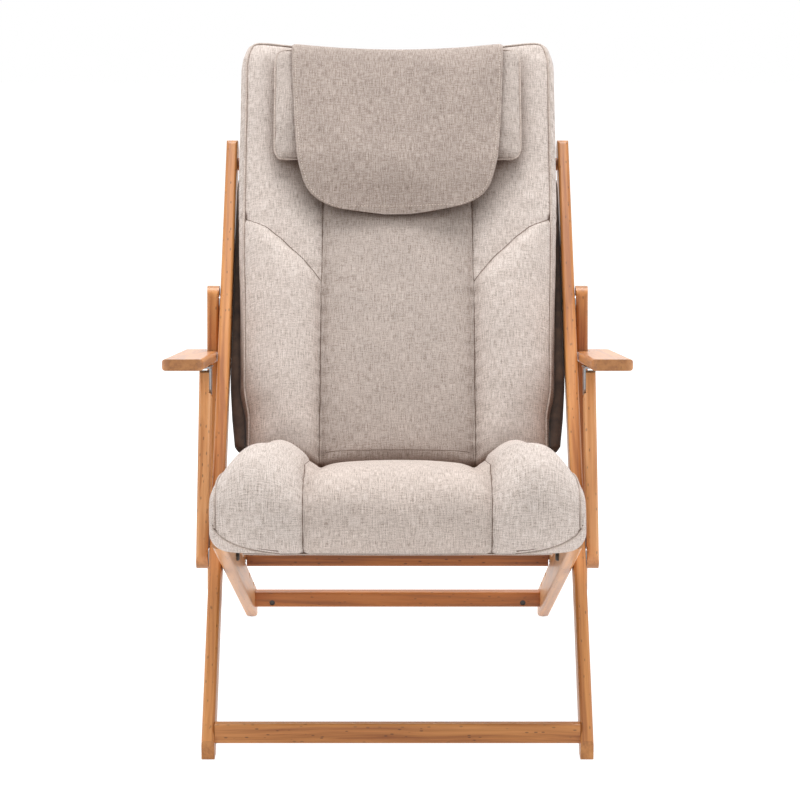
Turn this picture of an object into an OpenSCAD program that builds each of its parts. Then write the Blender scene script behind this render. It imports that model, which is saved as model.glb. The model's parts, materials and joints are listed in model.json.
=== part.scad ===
// Folding beech lounge chair with a quilted seat and back cushion and a head pillow.
// Millimetres, +Z up, front towards -Y. Left is -X. The origin is under the middle of the chair.
// Side view places are [y, z] pairs, measured from the front face of the front feet.

/* [Frame] */
// Width across the outer faces of the long rails
frame_w = 600; // [560:5:660]
// Thickness of the long rails, seat boards and prop rails
board_t = 20; // [18:0.5:24]
// Gap between neighbouring boards, filled by washers
layer_gap = 2; // [1.5:0.25:3]
// Width of a long rail in side view
rail_w = 45; // [40:1:52]
// Angle of the long rails above the floor
rail_angle = 48.3; // [46:0.1:52]
// Height of the upright cut at the front of a long rail's foot
foot_cut_h = 32; // [24:1:40]
// Length of a long rail above the main pivot
rail_up = 812; // [790:2:840]
// Rounding of a board's long edges
edge_r = 5; // [3:0.5:8]
// Rounding of a long rail's top corners
rail_end_r = 14; // [8:1:20]

/* [Seat boards] */
// Width of a seat board in side view
seat_w = 52; // [48:1:60]
// Slope of the seat boards down to the rear
seat_slope = 22.6; // [20:0.1:25]
// Height of a seat board's lower front corner
seat_front_h = 339; // [325:1:350]
// How far a seat board reaches ahead of the front feet
seat_front_out = 16; // [5:1:30]
// Reach of a seat board behind the point where its lower edge meets the floor
seat_rear_out = 16; // [10:1:24]
// Distance from the main pivot to the prop bar's resting place
rest_d = 250; // [235:1:265]
// Distance between the notches
notch_pitch = 124; // [110:1:130]
// Number of notches behind the resting place
notch_n = 2; // [1:1:2]
// Depth of a notch
notch_depth = 14; // [8:1:18]
// Length of a notch's front slope
notch_ramp = 40; // [30:1:60]
// Height of the shoulder in front of the resting prop bar
shoulder_h = 11; // [6:1:14]
// Length of the shoulder's front slope
shoulder_ramp = 48; // [30:1:70]

/* [Crossbars] */
// Diameter of the round front bar and top bar
bar_d = 22; // [20:0.5:26]
// Diameter of the bars' tenons
tenon_d = 12; // [10:0.5:14]
// Depth of the tenons in the boards
tenon_l = 12; // [8:1:15]
// Depth of the foot bar, front to back
foot_bar_d = 20; // [16:1:26]
// Height of the foot bar
foot_bar_h = 31; // [26:1:36]
// Height of the foot bar's lower side above the floor
foot_bar_z = 24; // [18:1:40]
// Depth of the foot bar's front face behind the front of the feet
foot_bar_in = 9; // [5:1:14]
// Depth of the rear stretcher, front to back
stretcher_d = 22; // [20:1:26]
// Height of the rear stretcher
stretcher_h = 29; // [26:1:32]
// Distance of the rear stretcher from the rear end of the seat boards
stretcher_in = 66; // [50:1:72]
// Distance of the rear stretcher below the seat board's centre line
stretcher_low = 0; // [0:0.5:6]
// Diameter of the barrel nuts in the rear stretcher
barrel_d = 10; // [8:0.5:12]
// Distance of a barrel nut from the stretcher's end
barrel_in = 31; // [25:1:40]
// Distance of a barrel nut below the stretcher's middle
barrel_low = 6; // [0:0.5:8]
// Distance of the front bar behind the seat boards' front ends
front_bar_in = 18; // [14:1:24]
// Distance of the front bar above the seat board's centre line
front_bar_up = 13; // [8:0.5:14]
// Distance of the top bar from the main pivot
top_bar_d = 770; // [750:2:790]

/* [Prop] */
// Width of a prop rail in side view
prop_w = 40; // [34:1:46]
// Distance from the main pivot to the prop's pivot
prop_pivot_d = 480; // [465:1:495]
// Length of a prop rail beyond the prop bar's axis
prop_over = 65; // [45:1:75]
// Length of the prop rail above its pivot, beyond the round end
prop_lead = 10; // [4:1:16]
// Depth of the prop bar's middle part
prop_bar_d = 22; // [20:1:26]
// Height of the prop bar's middle part
prop_bar_h = 30; // [26:1:34]
// Distance of the middle part's middle below the bar's axis
prop_bar_low = 6; // [2:0.5:8]
// Running clearance between the prop bar and the seat board's notched edge
bar_clear = 2.2; // [1.8:0.1:3]

/* [Arms] */
// Width of an arm post in side view
post_w = 40; // [34:1:46]
// Thickness of an arm post
post_t = 19.5; // [18:0.5:22]
// Angle of an arm post above the floor
post_angle = 65.7; // [63:0.1:69]
// Distance between an arm post's two pivots
post_len = 277; // [265:1:285]
// Reach of an arm post's rounded upper end beyond the arm pivot
post_end_r = 28; // [21:1:28.5]
// Width of an armrest
arm_w = 66; // [58:1:80]
// Thickness of an armrest
arm_t = 18; // [16:0.5:20]
// Slope of the armrests down to the rear
arm_slope = 7.9; // [6:0.1:9]
// Height of an armrest's underside above the arm pivot
arm_rise = 35; // [33:1:42]
// Length of an armrest ahead of the arm pivot
arm_front = 178; // [160:1:190]
// Length of an armrest behind the arm pivot
arm_rear = 259; // [250:1:270]
// Corner rounding of an armrest in plan
arm_corner_r = 15; // [8:1:20]
// Rounding of an armrest's long edges
arm_edge_r = 6; // [3:0.5:8]
// Clearance between a prop rail and the cut-out in the armrest
arm_cut_gap = 3; // [2:0.5:5]
// Clearance in front of a prop rail in the cut-out
arm_cut_front = 7; // [5:0.5:12]
// Thickness of the steel arm brackets
bracket_t = 3; // [2:0.5:4]
// Width of the steel arm brackets
bracket_w = 26; // [24:1:32]
// Length of a bracket's foot under the armrest
bracket_foot = 74; // [64:1:90]
// Reach of a bracket's foot across the armrest
bracket_reach = 26; // [22:1:32]
// Distance between a bracket's screws
screw_pitch = 50; // [40:1:60]
// Diameter of the pin that carries an armrest's rear end
rest_pin_d = 8; // [6:0.5:10]
// Reach of the rest pin beyond the prop rail
rest_pin_l = 30; // [20:1:36]

/* [Fittings] */
// Diameter of the pivot bolts
bolt_d = 10; // [8:0.5:12]
// Diameter of the bolt heads and cap nuts
head_d = 20; // [16:0.5:22]
// Height of the bolt heads
head_t = 4; // [3:0.5:5]
// Thickness of the flat cap nuts
nut_t = 5; // [4:0.5:6]
// Diameter of the washers between the boards
washer_d = 30; // [26:1:34]
// Running clearance round a pivot bolt
bolt_clear = 0.05; // [0.03:0.01:0.1]
// Diameter of the stretcher bolts
small_bolt_d = 6; // [5:0.5:7]
// Diameter of the stretcher bolts' sunk heads
small_head_d = 11; // [9:0.5:13]
// Depth of the stretcher bolts' sunk heads
small_head_t = 5; // [4:0.5:6]
// Hexagon socket across flats in the bolt heads
socket_w = 5; // [4:0.5:6]
// Diameter of the bracket screws
screw_d = 4; // [3:0.5:5]
// Length of the bracket screws in the wood
screw_l = 12; // [8:1:14]
// Diameter of the bracket screws' heads
screw_head_d = 8; // [6:0.5:9]
// Diameter of the foot glides
glide_d = 14; // [12:1:18]
// Thickness of the foot glides below the wood
glide_t = 2.5; // [1.5:0.5:4]

/* [Seat cushion] */
// Length from the front bar to the fold between seat and back
seat_pad_len = 411; // [400:1:425]
// How much longer both pads are than the span between their bars with the chair folded
fold_slack = 25; // [15:1:35]
// Half width of the seat cushion at the front
seat_pad_hw = 280; // [268:1:290]
// Half width of the seat cushion at the rear
seat_pad_rear_hw = 252; // [240:1:252]
// Thickness of the seat cushion over the front bar
seat_pad_t = 58; // [50:1:66]
// Thickness of the seat cushion at the rear
seat_pad_rear_t = 36; // [30:1:44]
// How far the front roll reaches ahead of the front bar
nose_out = 88; // [80:1:96]
// How far the front roll hangs below the front bar
nose_drop = 38; // [32:1:46]
// Distance of the roll's rear face ahead of the front bar
nose_back = 44; // [42:0.5:48]
// Height of the seat cushion's side bolsters
seat_bolster_h = 43; // [34:1:48]
// Depth of the channels along the seams
channel_depth = 7; // [4:1:12]

/* [Back cushion] */
// Length of the back cushion above the top bar
back_pad_up = 212; // [200:1:220]
// Half width of the back cushion low down
back_pad_low_hw = 264; // [258:1:268]
// Half width of the back cushion at the fold, which sinks between the seat boards
back_pad_end_hw = 255; // [245:1:256]
// Half width of the back cushion at the shoulders
back_pad_hw = 274; // [266:1:276]
// Thickness of the back cushion
back_pad_t = 66; // [56:1:80]
// Crown of the back cushion's lower part
back_crown = 10; // [5:1:16]
// Height of the back cushion's side bolsters
back_bolster_h = 26; // [15:1:36]
// Dip in the middle of the back cushion's top edge
top_dip = 26; // [12:1:32]
// Thickness of the panels that carry the cushions
panel_t = 12; // [8:1:14]
// Half width of the seat panel
seat_panel_hw = 250; // [240:1:253]
// Half width of the back panel
back_panel_hw = 279; // [272:1:279.5]
// Half width of the back panel's upper part
back_panel_top_hw = 264; // [256:1:270]
// Clearance between the cushions and what they lie on
soft_gap = 0.3; // [0.2:0.1:0.5]
// Clearance at the fold between seat and back cushion
fold_gap = 11; // [9:0.5:14]
// Largest angle of the fold
fold_angle = 56; // [50:1:56]

/* [Head pillow] */
// Half width of the pillow
pillow_hw = 211; // [190:1:215]
// Height of the pillow
pillow_l = 218; // [205:1:235]
// Distance of the pillow's upper edge above the top bar
pillow_up = 173; // [165:1:190]
// Thickness of the pillow
pillow_t = 42; // [32:1:52]
// Half width of the flap
flap_hw = 183; // [170:1:190]
// Thickness of the flap
flap_t = 4; // [3:0.5:7]
// Length of the flap below the pillow
flap_drop = 103; // [90:1:112]
// Length of the flap down the rear of the back
flap_rear = 120; // [80:1:140]

/* [Hidden] */
$fn = 64;
wood = "#c58650";
wood_dark = "#b5713d";
steel = "#4a4643";
zinc = "#8d8f92";
linen = "#bfb2a5";
brown = "#4a3a30";
rubber = "#2b2623";
over = 1;

function heading(a) = [cos(a), sin(a)];
function ahead(p, a, d) = p + d * heading(a);
function turned(p, a) = [p[0] * cos(a) - p[1] * sin(a), p[0] * sin(a) + p[1] * cos(a)];
function cross2(p, q) = p[0] * q[1] - p[1] * q[0];
function meet(p, a, q, b) = p + heading(a) * cross2(q - p, heading(b)) / cross2(heading(a), heading(b));
function bearing(p, q) = atan2(q[1] - p[1], q[0] - p[0]);
function local_of(p, origin, a) = turned(p - origin, -a);
function corner_angle(near, far, opposite) =
    acos((near * near + far * far - opposite * opposite) / (2 * near * far));

// Layers across the chair, as half widths
rail_out_x = frame_w / 2;
rail_in_x = rail_out_x - board_t;
seat_out_x = rail_in_x - layer_gap;
seat_in_x = seat_out_x - board_t;
outer_x = rail_out_x + layer_gap;
prop_out_x = outer_x + board_t;
post_out_x = outer_x + post_t;

// Pivots in side view
rail_line = ahead([0, foot_cut_h], rail_angle - 90, rail_w / 2);
seat_corner = [-seat_front_out, seat_front_h];
seat_line = ahead(seat_corner, 90 - seat_slope, seat_w / 2);
main_pivot = meet(rail_line, rail_angle, seat_line, -seat_slope);
prop_pivot = ahead(main_pivot, rail_angle, prop_pivot_d);
prop_axis = ahead(ahead(main_pivot, -seat_slope, rest_d), 90 - seat_slope,
    seat_w / 2 + bar_clear + bar_d / 2);
prop_angle = bearing(prop_pivot, prop_axis);
prop_len = norm(prop_axis - prop_pivot);
arm_pivot = ahead(main_pivot, post_angle, post_len);
front_axis = ahead(ahead(seat_line, -seat_slope, front_bar_in), 90 - seat_slope, front_bar_up);
top_axis = ahead(main_pivot, rail_angle, top_bar_d);
pin_line = ahead(arm_pivot, 90 - arm_slope, arm_rise - soft_gap - rest_pin_d / 2);
rest_pin = meet(prop_pivot, prop_angle, pin_line, -arm_slope);

// The fold between seat and back cushion. Folded, it sags below the line between the bars
folded_top = main_pivot + turned(top_axis - main_pivot, -fold_angle);
back_pad_len = norm(folded_top - front_axis) + fold_slack - seat_pad_len;
rest_span = norm(top_axis - front_axis);
seat_pad_angle = bearing(front_axis, top_axis) - corner_angle(seat_pad_len, rest_span, back_pad_len);
fold_place = ahead(front_axis, seat_pad_angle, seat_pad_len);
back_pad_angle = bearing(fold_place, top_axis);

// Heights of the cushions' faces above the line through their bar and the fold
seat_top = bar_d / 2 + soft_gap + panel_t + soft_gap;
seat_full = seat_top + seat_pad_t;
seat_rear_full = seat_top + seat_pad_rear_t;
back_front = seat_top + back_pad_t;

// The cushions part along a plane from the fold to the line where their faces meet
face_line = meet(ahead(top_axis, back_pad_angle + 90, back_front), back_pad_angle,
    ahead(front_axis, seat_pad_angle + 90, seat_rear_full), seat_pad_angle);
seat_split = bearing(fold_place, face_line) - seat_pad_angle;
back_split = bearing(fold_place, face_line) - back_pad_angle;

// The seat board's floor point and ends, in its own line from the front end
seat_floor_y = -seat_front_out + seat_front_h / tan(seat_slope);
seat_end_y = seat_floor_y + seat_rear_out;

// Places along y of all points of a soft form's rings
function side_places(rings, origin, a) = [for (r = rings, p = r) origin[0] + turned(p, a)[0]];

module at_side(side) {
    mirror([side < 0 ? 1 : 0, 0, 0]) children();
}

// Side view frame: x runs along the angle, y square to it, z outward across the chair
module in_side(x, p, a) {
    translate([x, p[0] - middle_y, p[1]]) rotate([90, 0, 90]) rotate([0, 0, a]) children();
}

module rounded(size, r) {
    inner = [size[0] - 2 * r, size[1] - 2 * r];
    square([inner[0], size[1]], center = true);
    square([size[0], inner[1]], center = true);
    for (i = [-1, 1], j = [-1, 1]) translate([i * inner[0] / 2, j * inner[1] / 2]) circle(r);
}

// A board from x = from to x = to with rounded long edges, its thickness upward from z = 0
module stock(from, to, w, t) {
    translate([from, 0, t / 2]) rotate([90, 0, 90]) linear_extrude(to - from) rounded([w, t], edge_r);
}

// A board whose ends are round about x = -lead and x = reach
module round_board(reach, w, t, lead, end_r) {
    intersection() {
        stock(-lead - w / 2 - over, reach + end_r + over, w, t);
        translate([0, 0, -over]) linear_extrude(t + 2 * over) {
            translate([-lead, 0]) circle(w / 2);
            translate([reach, 0]) circle(end_r);
            translate([-lead, -w / 2]) square([reach + lead, w]);
        }
    }
}

module floor_cut(reach) {
    translate([-reach, -reach, glide_t - reach]) cube([2 * reach, 2 * reach, reach]);
}

// Seat frame
module notch_cuts(thick) {
    crest = seat_w / 2;
    for (i = [1 : notch_n]) {
        wall = rest_d + bar_d / 2 + i * notch_pitch;
        translate([0, 0, -over]) linear_extrude(thick + 2 * over) {
            translate([wall - bar_d / 2, crest - notch_depth + bar_d / 2]) circle(bar_d / 2);
            polygon([[wall - notch_ramp - bar_d / 2, crest + over], [wall - bar_d / 2, crest - notch_depth],
                [wall - bar_d / 2, crest + over]]);
            translate([wall - bar_d / 2, crest - notch_depth + bar_d / 2]) square([bar_d / 2, notch_depth]);
        }
    }
}

module shoulder(thick) {
    crest = seat_w / 2;
    seat_r = bar_d / 2 + soft_gap;
    difference() {
        linear_extrude(thick)
            polygon([[rest_d - bar_d / 2 - shoulder_ramp, crest - over],
                [rest_d - bar_d, crest + shoulder_h],
                [rest_d - bar_d / 3, crest + shoulder_h], [rest_d, crest + bar_clear - soft_gap],
                [rest_d + bar_d / 2, crest - over / 2], [rest_d + bar_d / 2, crest - over]]);
        translate([rest_d, crest + bar_clear + bar_d / 2, -over])
            cylinder(r = seat_r, h = thick + 2 * over);
    }
}

module seat_board(side) {
    front = -norm(main_pivot - seat_line);
    reach = norm([seat_end_y, seat_front_h]);
    color(wood) at_side(side) difference() {
        in_side(seat_in_x, main_pivot, -seat_slope) difference() {
            union() {
                difference() {
                    stock(front - seat_w, reach, seat_w, board_t);
                    notch_cuts(board_t);
                }
                shoulder(board_t);
            }
            translate([0, 0, -over]) cylinder(d = bolt_d + 2 * bolt_clear, h = board_t + 2 * over);
            translate([front + front_bar_in, front_bar_up, -over])
                cylinder(d = tenon_d + 2 * bolt_clear, h = tenon_l + over + bolt_clear);
        }
        translate([0, -middle_y - seat_front_out - reach, 0]) cube([reach, reach, reach]);
        translate([0, -middle_y + seat_end_y, -reach]) cube([reach, reach, 2 * reach]);
        floor_cut(2 * reach);
        in_side(seat_in_x - over, stretcher_at(barrel_low), 0)
            cylinder(d = small_bolt_d + 2 * bolt_clear, h = board_t + 2 * over);
        in_side(seat_out_x - small_head_t, stretcher_at(barrel_low), 0)
            cylinder(d = small_head_d + 2 * bolt_clear, h = small_head_t + over);
    }
}

function stretcher_at(low) =
    ahead(seat_line, -seat_slope, (seat_end_y - stretcher_in - seat_line[0]) / cos(seat_slope))
    - [0, stretcher_low + low];

module front_bar() {
    color(wood_dark) for (side = [-1, 1]) at_side(side) in_side(0, front_axis, 0) {
        cylinder(d = bar_d, h = seat_in_x);
        translate([0, 0, seat_in_x]) cylinder(d = tenon_d, h = tenon_l);
    }
}

module rear_stretcher() {
    color(wood_dark) difference() {
        in_side(-seat_in_x, stretcher_at(0), 0) linear_extrude(2 * seat_in_x)
            rounded([stretcher_d, stretcher_h], edge_r);
        for (side = [-1, 1]) at_side(side) {
            translate([seat_in_x - barrel_in, stretcher_at(0)[0] - middle_y, stretcher_at(barrel_low)[1]])
                rotate([90, 0, 0])
                cylinder(d = barrel_d + 2 * bolt_clear, h = stretcher_d + 2 * over, center = true);
            in_side(seat_in_x - barrel_in - barrel_d / 2 - bolt_clear, stretcher_at(barrel_low), 0)
                cylinder(d = small_bolt_d + 2 * bolt_clear, h = barrel_in + barrel_d + over);
        }
    }
}

module barrel_nut(side) {
    color(steel) at_side(side) difference() {
        translate([seat_in_x - barrel_in, stretcher_at(0)[0] - middle_y, stretcher_at(barrel_low)[1]])
            rotate([90, 0, 0]) cylinder(d = barrel_d, h = stretcher_d - edge_r, center = true);
        in_side(seat_in_x - barrel_in - barrel_d, stretcher_at(barrel_low), 0)
            cylinder(d = small_bolt_d + 2 * bolt_clear, h = 2 * barrel_d);
    }
}

module stretcher_bolt(side) {
    color(steel) at_side(side) in_side(0, stretcher_at(barrel_low), 0) difference() {
        union() {
            translate([0, 0, seat_in_x - barrel_in - barrel_d / 2])
                cylinder(d = small_bolt_d, h = barrel_in + barrel_d / 2 + board_t - small_head_t);
            translate([0, 0, seat_out_x - small_head_t])
                cylinder(d = small_head_d, h = small_head_t - soft_gap);
        }
        translate([0, 0, seat_out_x - small_head_t / 2]) cylinder(d = socket_w, h = small_head_t, $fn = 6);
    }
}

// A foot glide: a disc between the wood and the floor
module glide(side, x, y) {
    color(rubber) at_side(side) translate([x, y - middle_y, 0]) cylinder(d = glide_d, h = glide_t);
}

module rear_glide(side) {
    glide(side, seat_in_x + board_t / 2, seat_end_y - glide_d / 2 - over);
}

module front_glide(side) {
    glide(side, rail_in_x + board_t / 2, glide_d);
}

// Bolts, nuts and washers on an axis across the chair
module bolt(side, p, from, to) {
    color(steel) at_side(side) in_side(0, p, 0) difference() {
        union() {
            translate([0, 0, from]) cylinder(d = bolt_d, h = to - from);
            translate([0, 0, to]) cylinder(d = head_d, h = head_t / 2);
            translate([0, 0, to + head_t / 2]) cylinder(d1 = head_d, d2 = head_d - head_t, h = head_t / 2);
        }
        translate([0, 0, to + head_t / 4]) cylinder(d = socket_w, h = head_t, $fn = 6);
    }
}

module cap_nut(side, p, face) {
    color(steel) at_side(side) in_side(face - nut_t, p, 0) difference() {
        union() {
            translate([0, 0, nut_t / 3]) cylinder(d = head_d - head_t, h = nut_t - nut_t / 3);
            cylinder(d1 = head_d - 2 * head_t, d2 = head_d - head_t, h = nut_t / 3);
        }
        translate([0, 0, nut_t / 3]) cylinder(d = bolt_d + 2 * bolt_clear, h = nut_t);
    }
}

module washer(side, p, x) {
    color(zinc) at_side(side) in_side(x, p, 0) difference() {
        cylinder(d = washer_d, h = layer_gap);
        translate([0, 0, -over]) cylinder(d = bolt_d + 2 * bolt_clear, h = layer_gap + 2 * over);
    }
}

module main_bolt(side) {
    bolt(side, main_pivot, seat_in_x - nut_t + nut_t / 3 + bolt_clear, post_out_x - head_t);
}

module main_nut(side) {
    cap_nut(side, main_pivot, seat_in_x);
}

module inner_washer(side) {
    washer(side, main_pivot, seat_out_x);
}

module outer_washer(side) {
    washer(side, main_pivot, rail_out_x);
}

// Back frame
module long_rail(side) {
    reach = norm(main_pivot - rail_line) + 2 * rail_w + rail_up;
    color(wood) at_side(side) difference() {
        in_side(rail_in_x, main_pivot, rail_angle) difference() {
            intersection() {
                stock(rail_up - reach, rail_up, rail_w, board_t);
                translate([rail_up - reach / 2, 0, -over]) linear_extrude(board_t + 2 * over)
                    rounded([reach, rail_w], rail_end_r);
            }
            bolt_holes();
        }
        rail_foot_cuts();
        in_side(rail_in_x - over, foot_bar_at(), 0)
            cylinder(d = tenon_d + 2 * bolt_clear, h = tenon_l + over + bolt_clear);
    }
}

module bolt_holes() {
    for (d = [0, prop_pivot_d]) translate([d, 0, -over])
        cylinder(d = bolt_d + 2 * bolt_clear, h = board_t + 2 * over);
    translate([prop_pivot_d, 0, -over])
        cylinder(d = head_d - head_t + 2 * soft_gap, h = nut_t + over);
    translate([top_bar_d, 0, -over])
        cylinder(d = tenon_d + 2 * bolt_clear, h = tenon_l + over + bolt_clear);
}

module rail_foot_cuts() {
    reach = 2 * rail_up;
    translate([0, -middle_y - reach, -reach]) cube([reach, reach, 2 * reach]);
    floor_cut(reach);
}

function foot_bar_at() = [foot_bar_in + foot_bar_d / 2, foot_bar_z + foot_bar_h / 2];

module top_bar() {
    color(wood_dark) for (side = [-1, 1]) at_side(side) in_side(0, top_axis, 0) {
        cylinder(d = bar_d, h = rail_in_x);
        translate([0, 0, rail_in_x]) cylinder(d = tenon_d, h = tenon_l);
    }
}

module foot_bar() {
    color(wood) {
        in_side(-rail_in_x, foot_bar_at(), 0) linear_extrude(2 * rail_in_x)
            rounded([foot_bar_d, foot_bar_h], edge_r);
        for (side = [-1, 1]) at_side(side) in_side(rail_in_x, foot_bar_at(), 0)
            cylinder(d = tenon_d, h = tenon_l);
    }
}

module prop_bolt(side) {
    bolt(side, prop_pivot, rail_in_x + nut_t / 3 + bolt_clear, prop_out_x - head_t);
}

module prop_nut(side) {
    cap_nut(side, prop_pivot, rail_in_x + nut_t);
}

module prop_washer(side) {
    washer(side, prop_pivot, rail_out_x);
}

// Prop. The pivot bolt's head is sunk in the rail, clear of the folding armrest
module prop_rail(side) {
    color(wood) at_side(side) in_side(outer_x, prop_pivot, prop_angle) difference() {
        round_board(prop_len + prop_over - prop_w / 2, prop_w, board_t, prop_lead, prop_w / 2);
        translate([0, 0, -over]) cylinder(d = bolt_d + 2 * bolt_clear, h = board_t + 2 * over);
        translate([0, 0, board_t - head_t]) cylinder(d = head_d + 2 * soft_gap, h = head_t + over);
        translate([prop_len, 0, -over])
            cylinder(d = tenon_d + 2 * bolt_clear, h = tenon_l + over + bolt_clear);
        translate([norm(rest_pin - prop_pivot), 0, board_t - tenon_l])
            cylinder(d = rest_pin_d + 2 * bolt_clear, h = tenon_l + over);
    }
}

module prop_bar() {
    inner = seat_in_x - layer_gap;
    color(wood_dark) {
        in_side(-inner, prop_axis - [0, prop_bar_low], 0) linear_extrude(2 * inner)
            rounded([prop_bar_d, prop_bar_h], edge_r);
        for (side = [-1, 1]) at_side(side) in_side(inner, prop_axis, 0) {
            cylinder(d = bar_d, h = outer_x - inner);
            translate([0, 0, outer_x - inner]) cylinder(d = tenon_d, h = tenon_l);
        }
    }
}

module rest_pin(side) {
    color(steel) at_side(side) in_side(prop_out_x - tenon_l + bolt_clear, rest_pin, 0)
        cylinder(d = rest_pin_d, h = tenon_l + rest_pin_l);
}

// Arms
module arm_post(side) {
    color(wood) at_side(side) in_side(outer_x, main_pivot, post_angle) difference() {
        round_board(post_len, post_w, post_t, 0, post_end_r);
        translate([0, 0, -over]) cylinder(d = bolt_d + 2 * bolt_clear, h = post_t + 2 * over);
        for (d = [0, post_len]) translate([d, 0, post_t - head_t])
            cylinder(d = head_d + 2 * soft_gap, h = head_t + over);
        translate([post_len, 0, -over]) cylinder(d = bolt_d + 2 * bolt_clear, h = post_t + 2 * over);
        translate([post_len - bracket_w / 2 - over, -post_w, -over])
            cube([2 * post_w, 2 * post_w, bracket_t + soft_gap + over]);
    }
}

module arm_bolt(side) {
    bolt(side, arm_pivot, outer_x, post_out_x - head_t);
}

module arm_plan() {
    translate([(arm_rear - arm_front) / 2, arm_w / 2]) rounded([arm_front + arm_rear, arm_w], arm_corner_r);
}

function cut_front() = local_of(rest_pin, arm_pivot, -arm_slope)[0] - prop_w / 2 - arm_cut_front;

// In its own frame an armrest runs along x, rises along y, and its width runs outward along z
module armrest(side) {
    cut_w = board_t + arm_cut_gap;
    color(wood) at_side(side) in_side(outer_x, arm_pivot, -arm_slope) difference() {
        intersection() {
            translate([-arm_front, arm_rise + arm_t / 2, arm_w / 2]) rotate([0, 90, 0])
                linear_extrude(arm_front + arm_rear) rounded([arm_w, arm_t], arm_edge_r);
            translate([0, arm_rise + arm_t + over, 0]) rotate([90, 0, 0])
                linear_extrude(arm_t + 2 * over) arm_plan();
        }
        translate([cut_front(), arm_rise - over, -over]) cube([arm_rear, arm_t + 2 * over, cut_w + over]);
        for (i = [-1, 1]) translate([i * screw_pitch / 2, arm_rise - over, screw_z()])
            rotate([-90, 0, 0]) cylinder(d = screw_d + 2 * bolt_clear, h = screw_l + over + bolt_clear);
    }
}

function screw_z() = bracket_t + bracket_reach / 2;

// The bracket's tongue turns on the arm bolt in a rebate of the post's inner face
module arm_bracket(side) {
    color(steel) at_side(side) in_side(outer_x, arm_pivot, -arm_slope) difference() {
        union() {
            linear_extrude(bracket_t) {
                circle(bracket_w / 2);
                translate([-bracket_w / 2, 0]) square([bracket_w, arm_rise]);
            }
            translate([-bracket_foot / 2, arm_rise - bracket_t, 0])
                cube([bracket_foot, bracket_t, bracket_t + bracket_reach]);
        }
        translate([0, 0, -over]) cylinder(d = bolt_d + 2 * bolt_clear, h = bracket_t + 2 * over);
        for (i = [-1, 1]) translate([i * screw_pitch / 2, arm_rise - bracket_t - over, screw_z()])
            rotate([-90, 0, 0]) cylinder(d = screw_d + 2 * bolt_clear, h = bracket_t + 2 * over);
    }
}

module bracket_screw(side, end) {
    head = screw_d / 2;
    color(zinc) at_side(side) in_side(outer_x, arm_pivot, -arm_slope)
        translate([end * screw_pitch / 2, arm_rise - bracket_t - head, screw_z()]) rotate([-90, 0, 0]) {
            cylinder(d1 = screw_head_d - head, d2 = screw_head_d, h = head);
            translate([0, 0, head]) cylinder(d = screw_d, h = bracket_t + screw_l);
        }
}

// Soft forms: each is a loft of rings, and a ring has a front side and a rear side across the chair
across_shares = [-1, -0.985, -0.95, -0.9, -0.83, -0.75, -0.66, -0.58, -0.52, -0.48, -0.44, -0.36, -0.18, 0,
    0.18, 0.36, 0.44, 0.48, 0.52, 0.58, 0.66, 0.75, 0.83, 0.9, 0.95, 0.985, 1];
seat_side_share = 0.76;
back_side_share = 0.8;
side_power = 2.4;

function clamp(v, low, high) = min(max(v, low), high);
function eased(v) = let (c = clamp(v, 0, 1)) c * c * (3 - 2 * c);

// Thickness across: full in the middle, drawn in to nothing at the sides
function fullness(s, start) = abs(s) <= start ? 1 :
    pow(max(1 - pow((abs(s) - start) / (1 - start), side_power), 0), 1 / side_power);

// Bolster rise across, with the seam's channel at its inner edge
seam_share = 0.48;
channel_share = 0.1;
seat_power = 1.1;
back_power = 0.8;
function rise(s, height, depth, power) =
    let (a = abs(s), r = (a - seam_share) / (1 - seam_share))
    (a > seam_share ? height * sin(180 * pow(clamp(r, 0, 1), power)) : 0)
    - depth * max(1 - abs(a - seam_share) / channel_share, 0);

// One ring from its front point, rear point, half width, extra rise list and fullness start
function ring(front, rear, hw, lift, start, shares) =
    let (mid = (front + rear) / 2, span = front - rear, out = span / norm(span), n = len(shares) - 1)
    concat(
        [for (j = [0 : n]) let (s = shares[j], f = fullness(s, start),
            p = mid + span / 2 * f + out * lift[j] * f) [p[0], p[1], s * hw]],
        [for (j = [n - 1 : -1 : 1]) let (s = shares[j], p = mid - span / 2 * fullness(s, start))
            [p[0], p[1], s * hw]]);

function loft_faces(m, n) =
    let (k = 2 * n)
    concat(
        [for (i = [0 : m - 2], j = [0 : k - 1], t = [0, 1])
            let (a = i * k + j, b = i * k + (j + 1) % k, c = a + k, d = b + k)
            t == 0 ? [a, c, b] : [b, c, d]],
        [for (end = [0, m - 1], j = [0 : n - 1], t = [0, 1])
            let (o = end * k, a = o + j, b = o + j + 1, c = o + (k - j - 1), d = o + (k - j) % k,
                face = t == 0 ? [a, b, c] : [a, c, d])
            if ((t == 0 && j < n - 1) || (t == 1 && j > 0)) end == 0 ? face : [face[0], face[2], face[1]]]);

module loft(rings) {
    n = len(rings[0]) / 2;
    polyhedron(points = [for (r = rings, p = r) p], faces = loft_faces(len(rings), n), convexity = 8);
}

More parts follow.
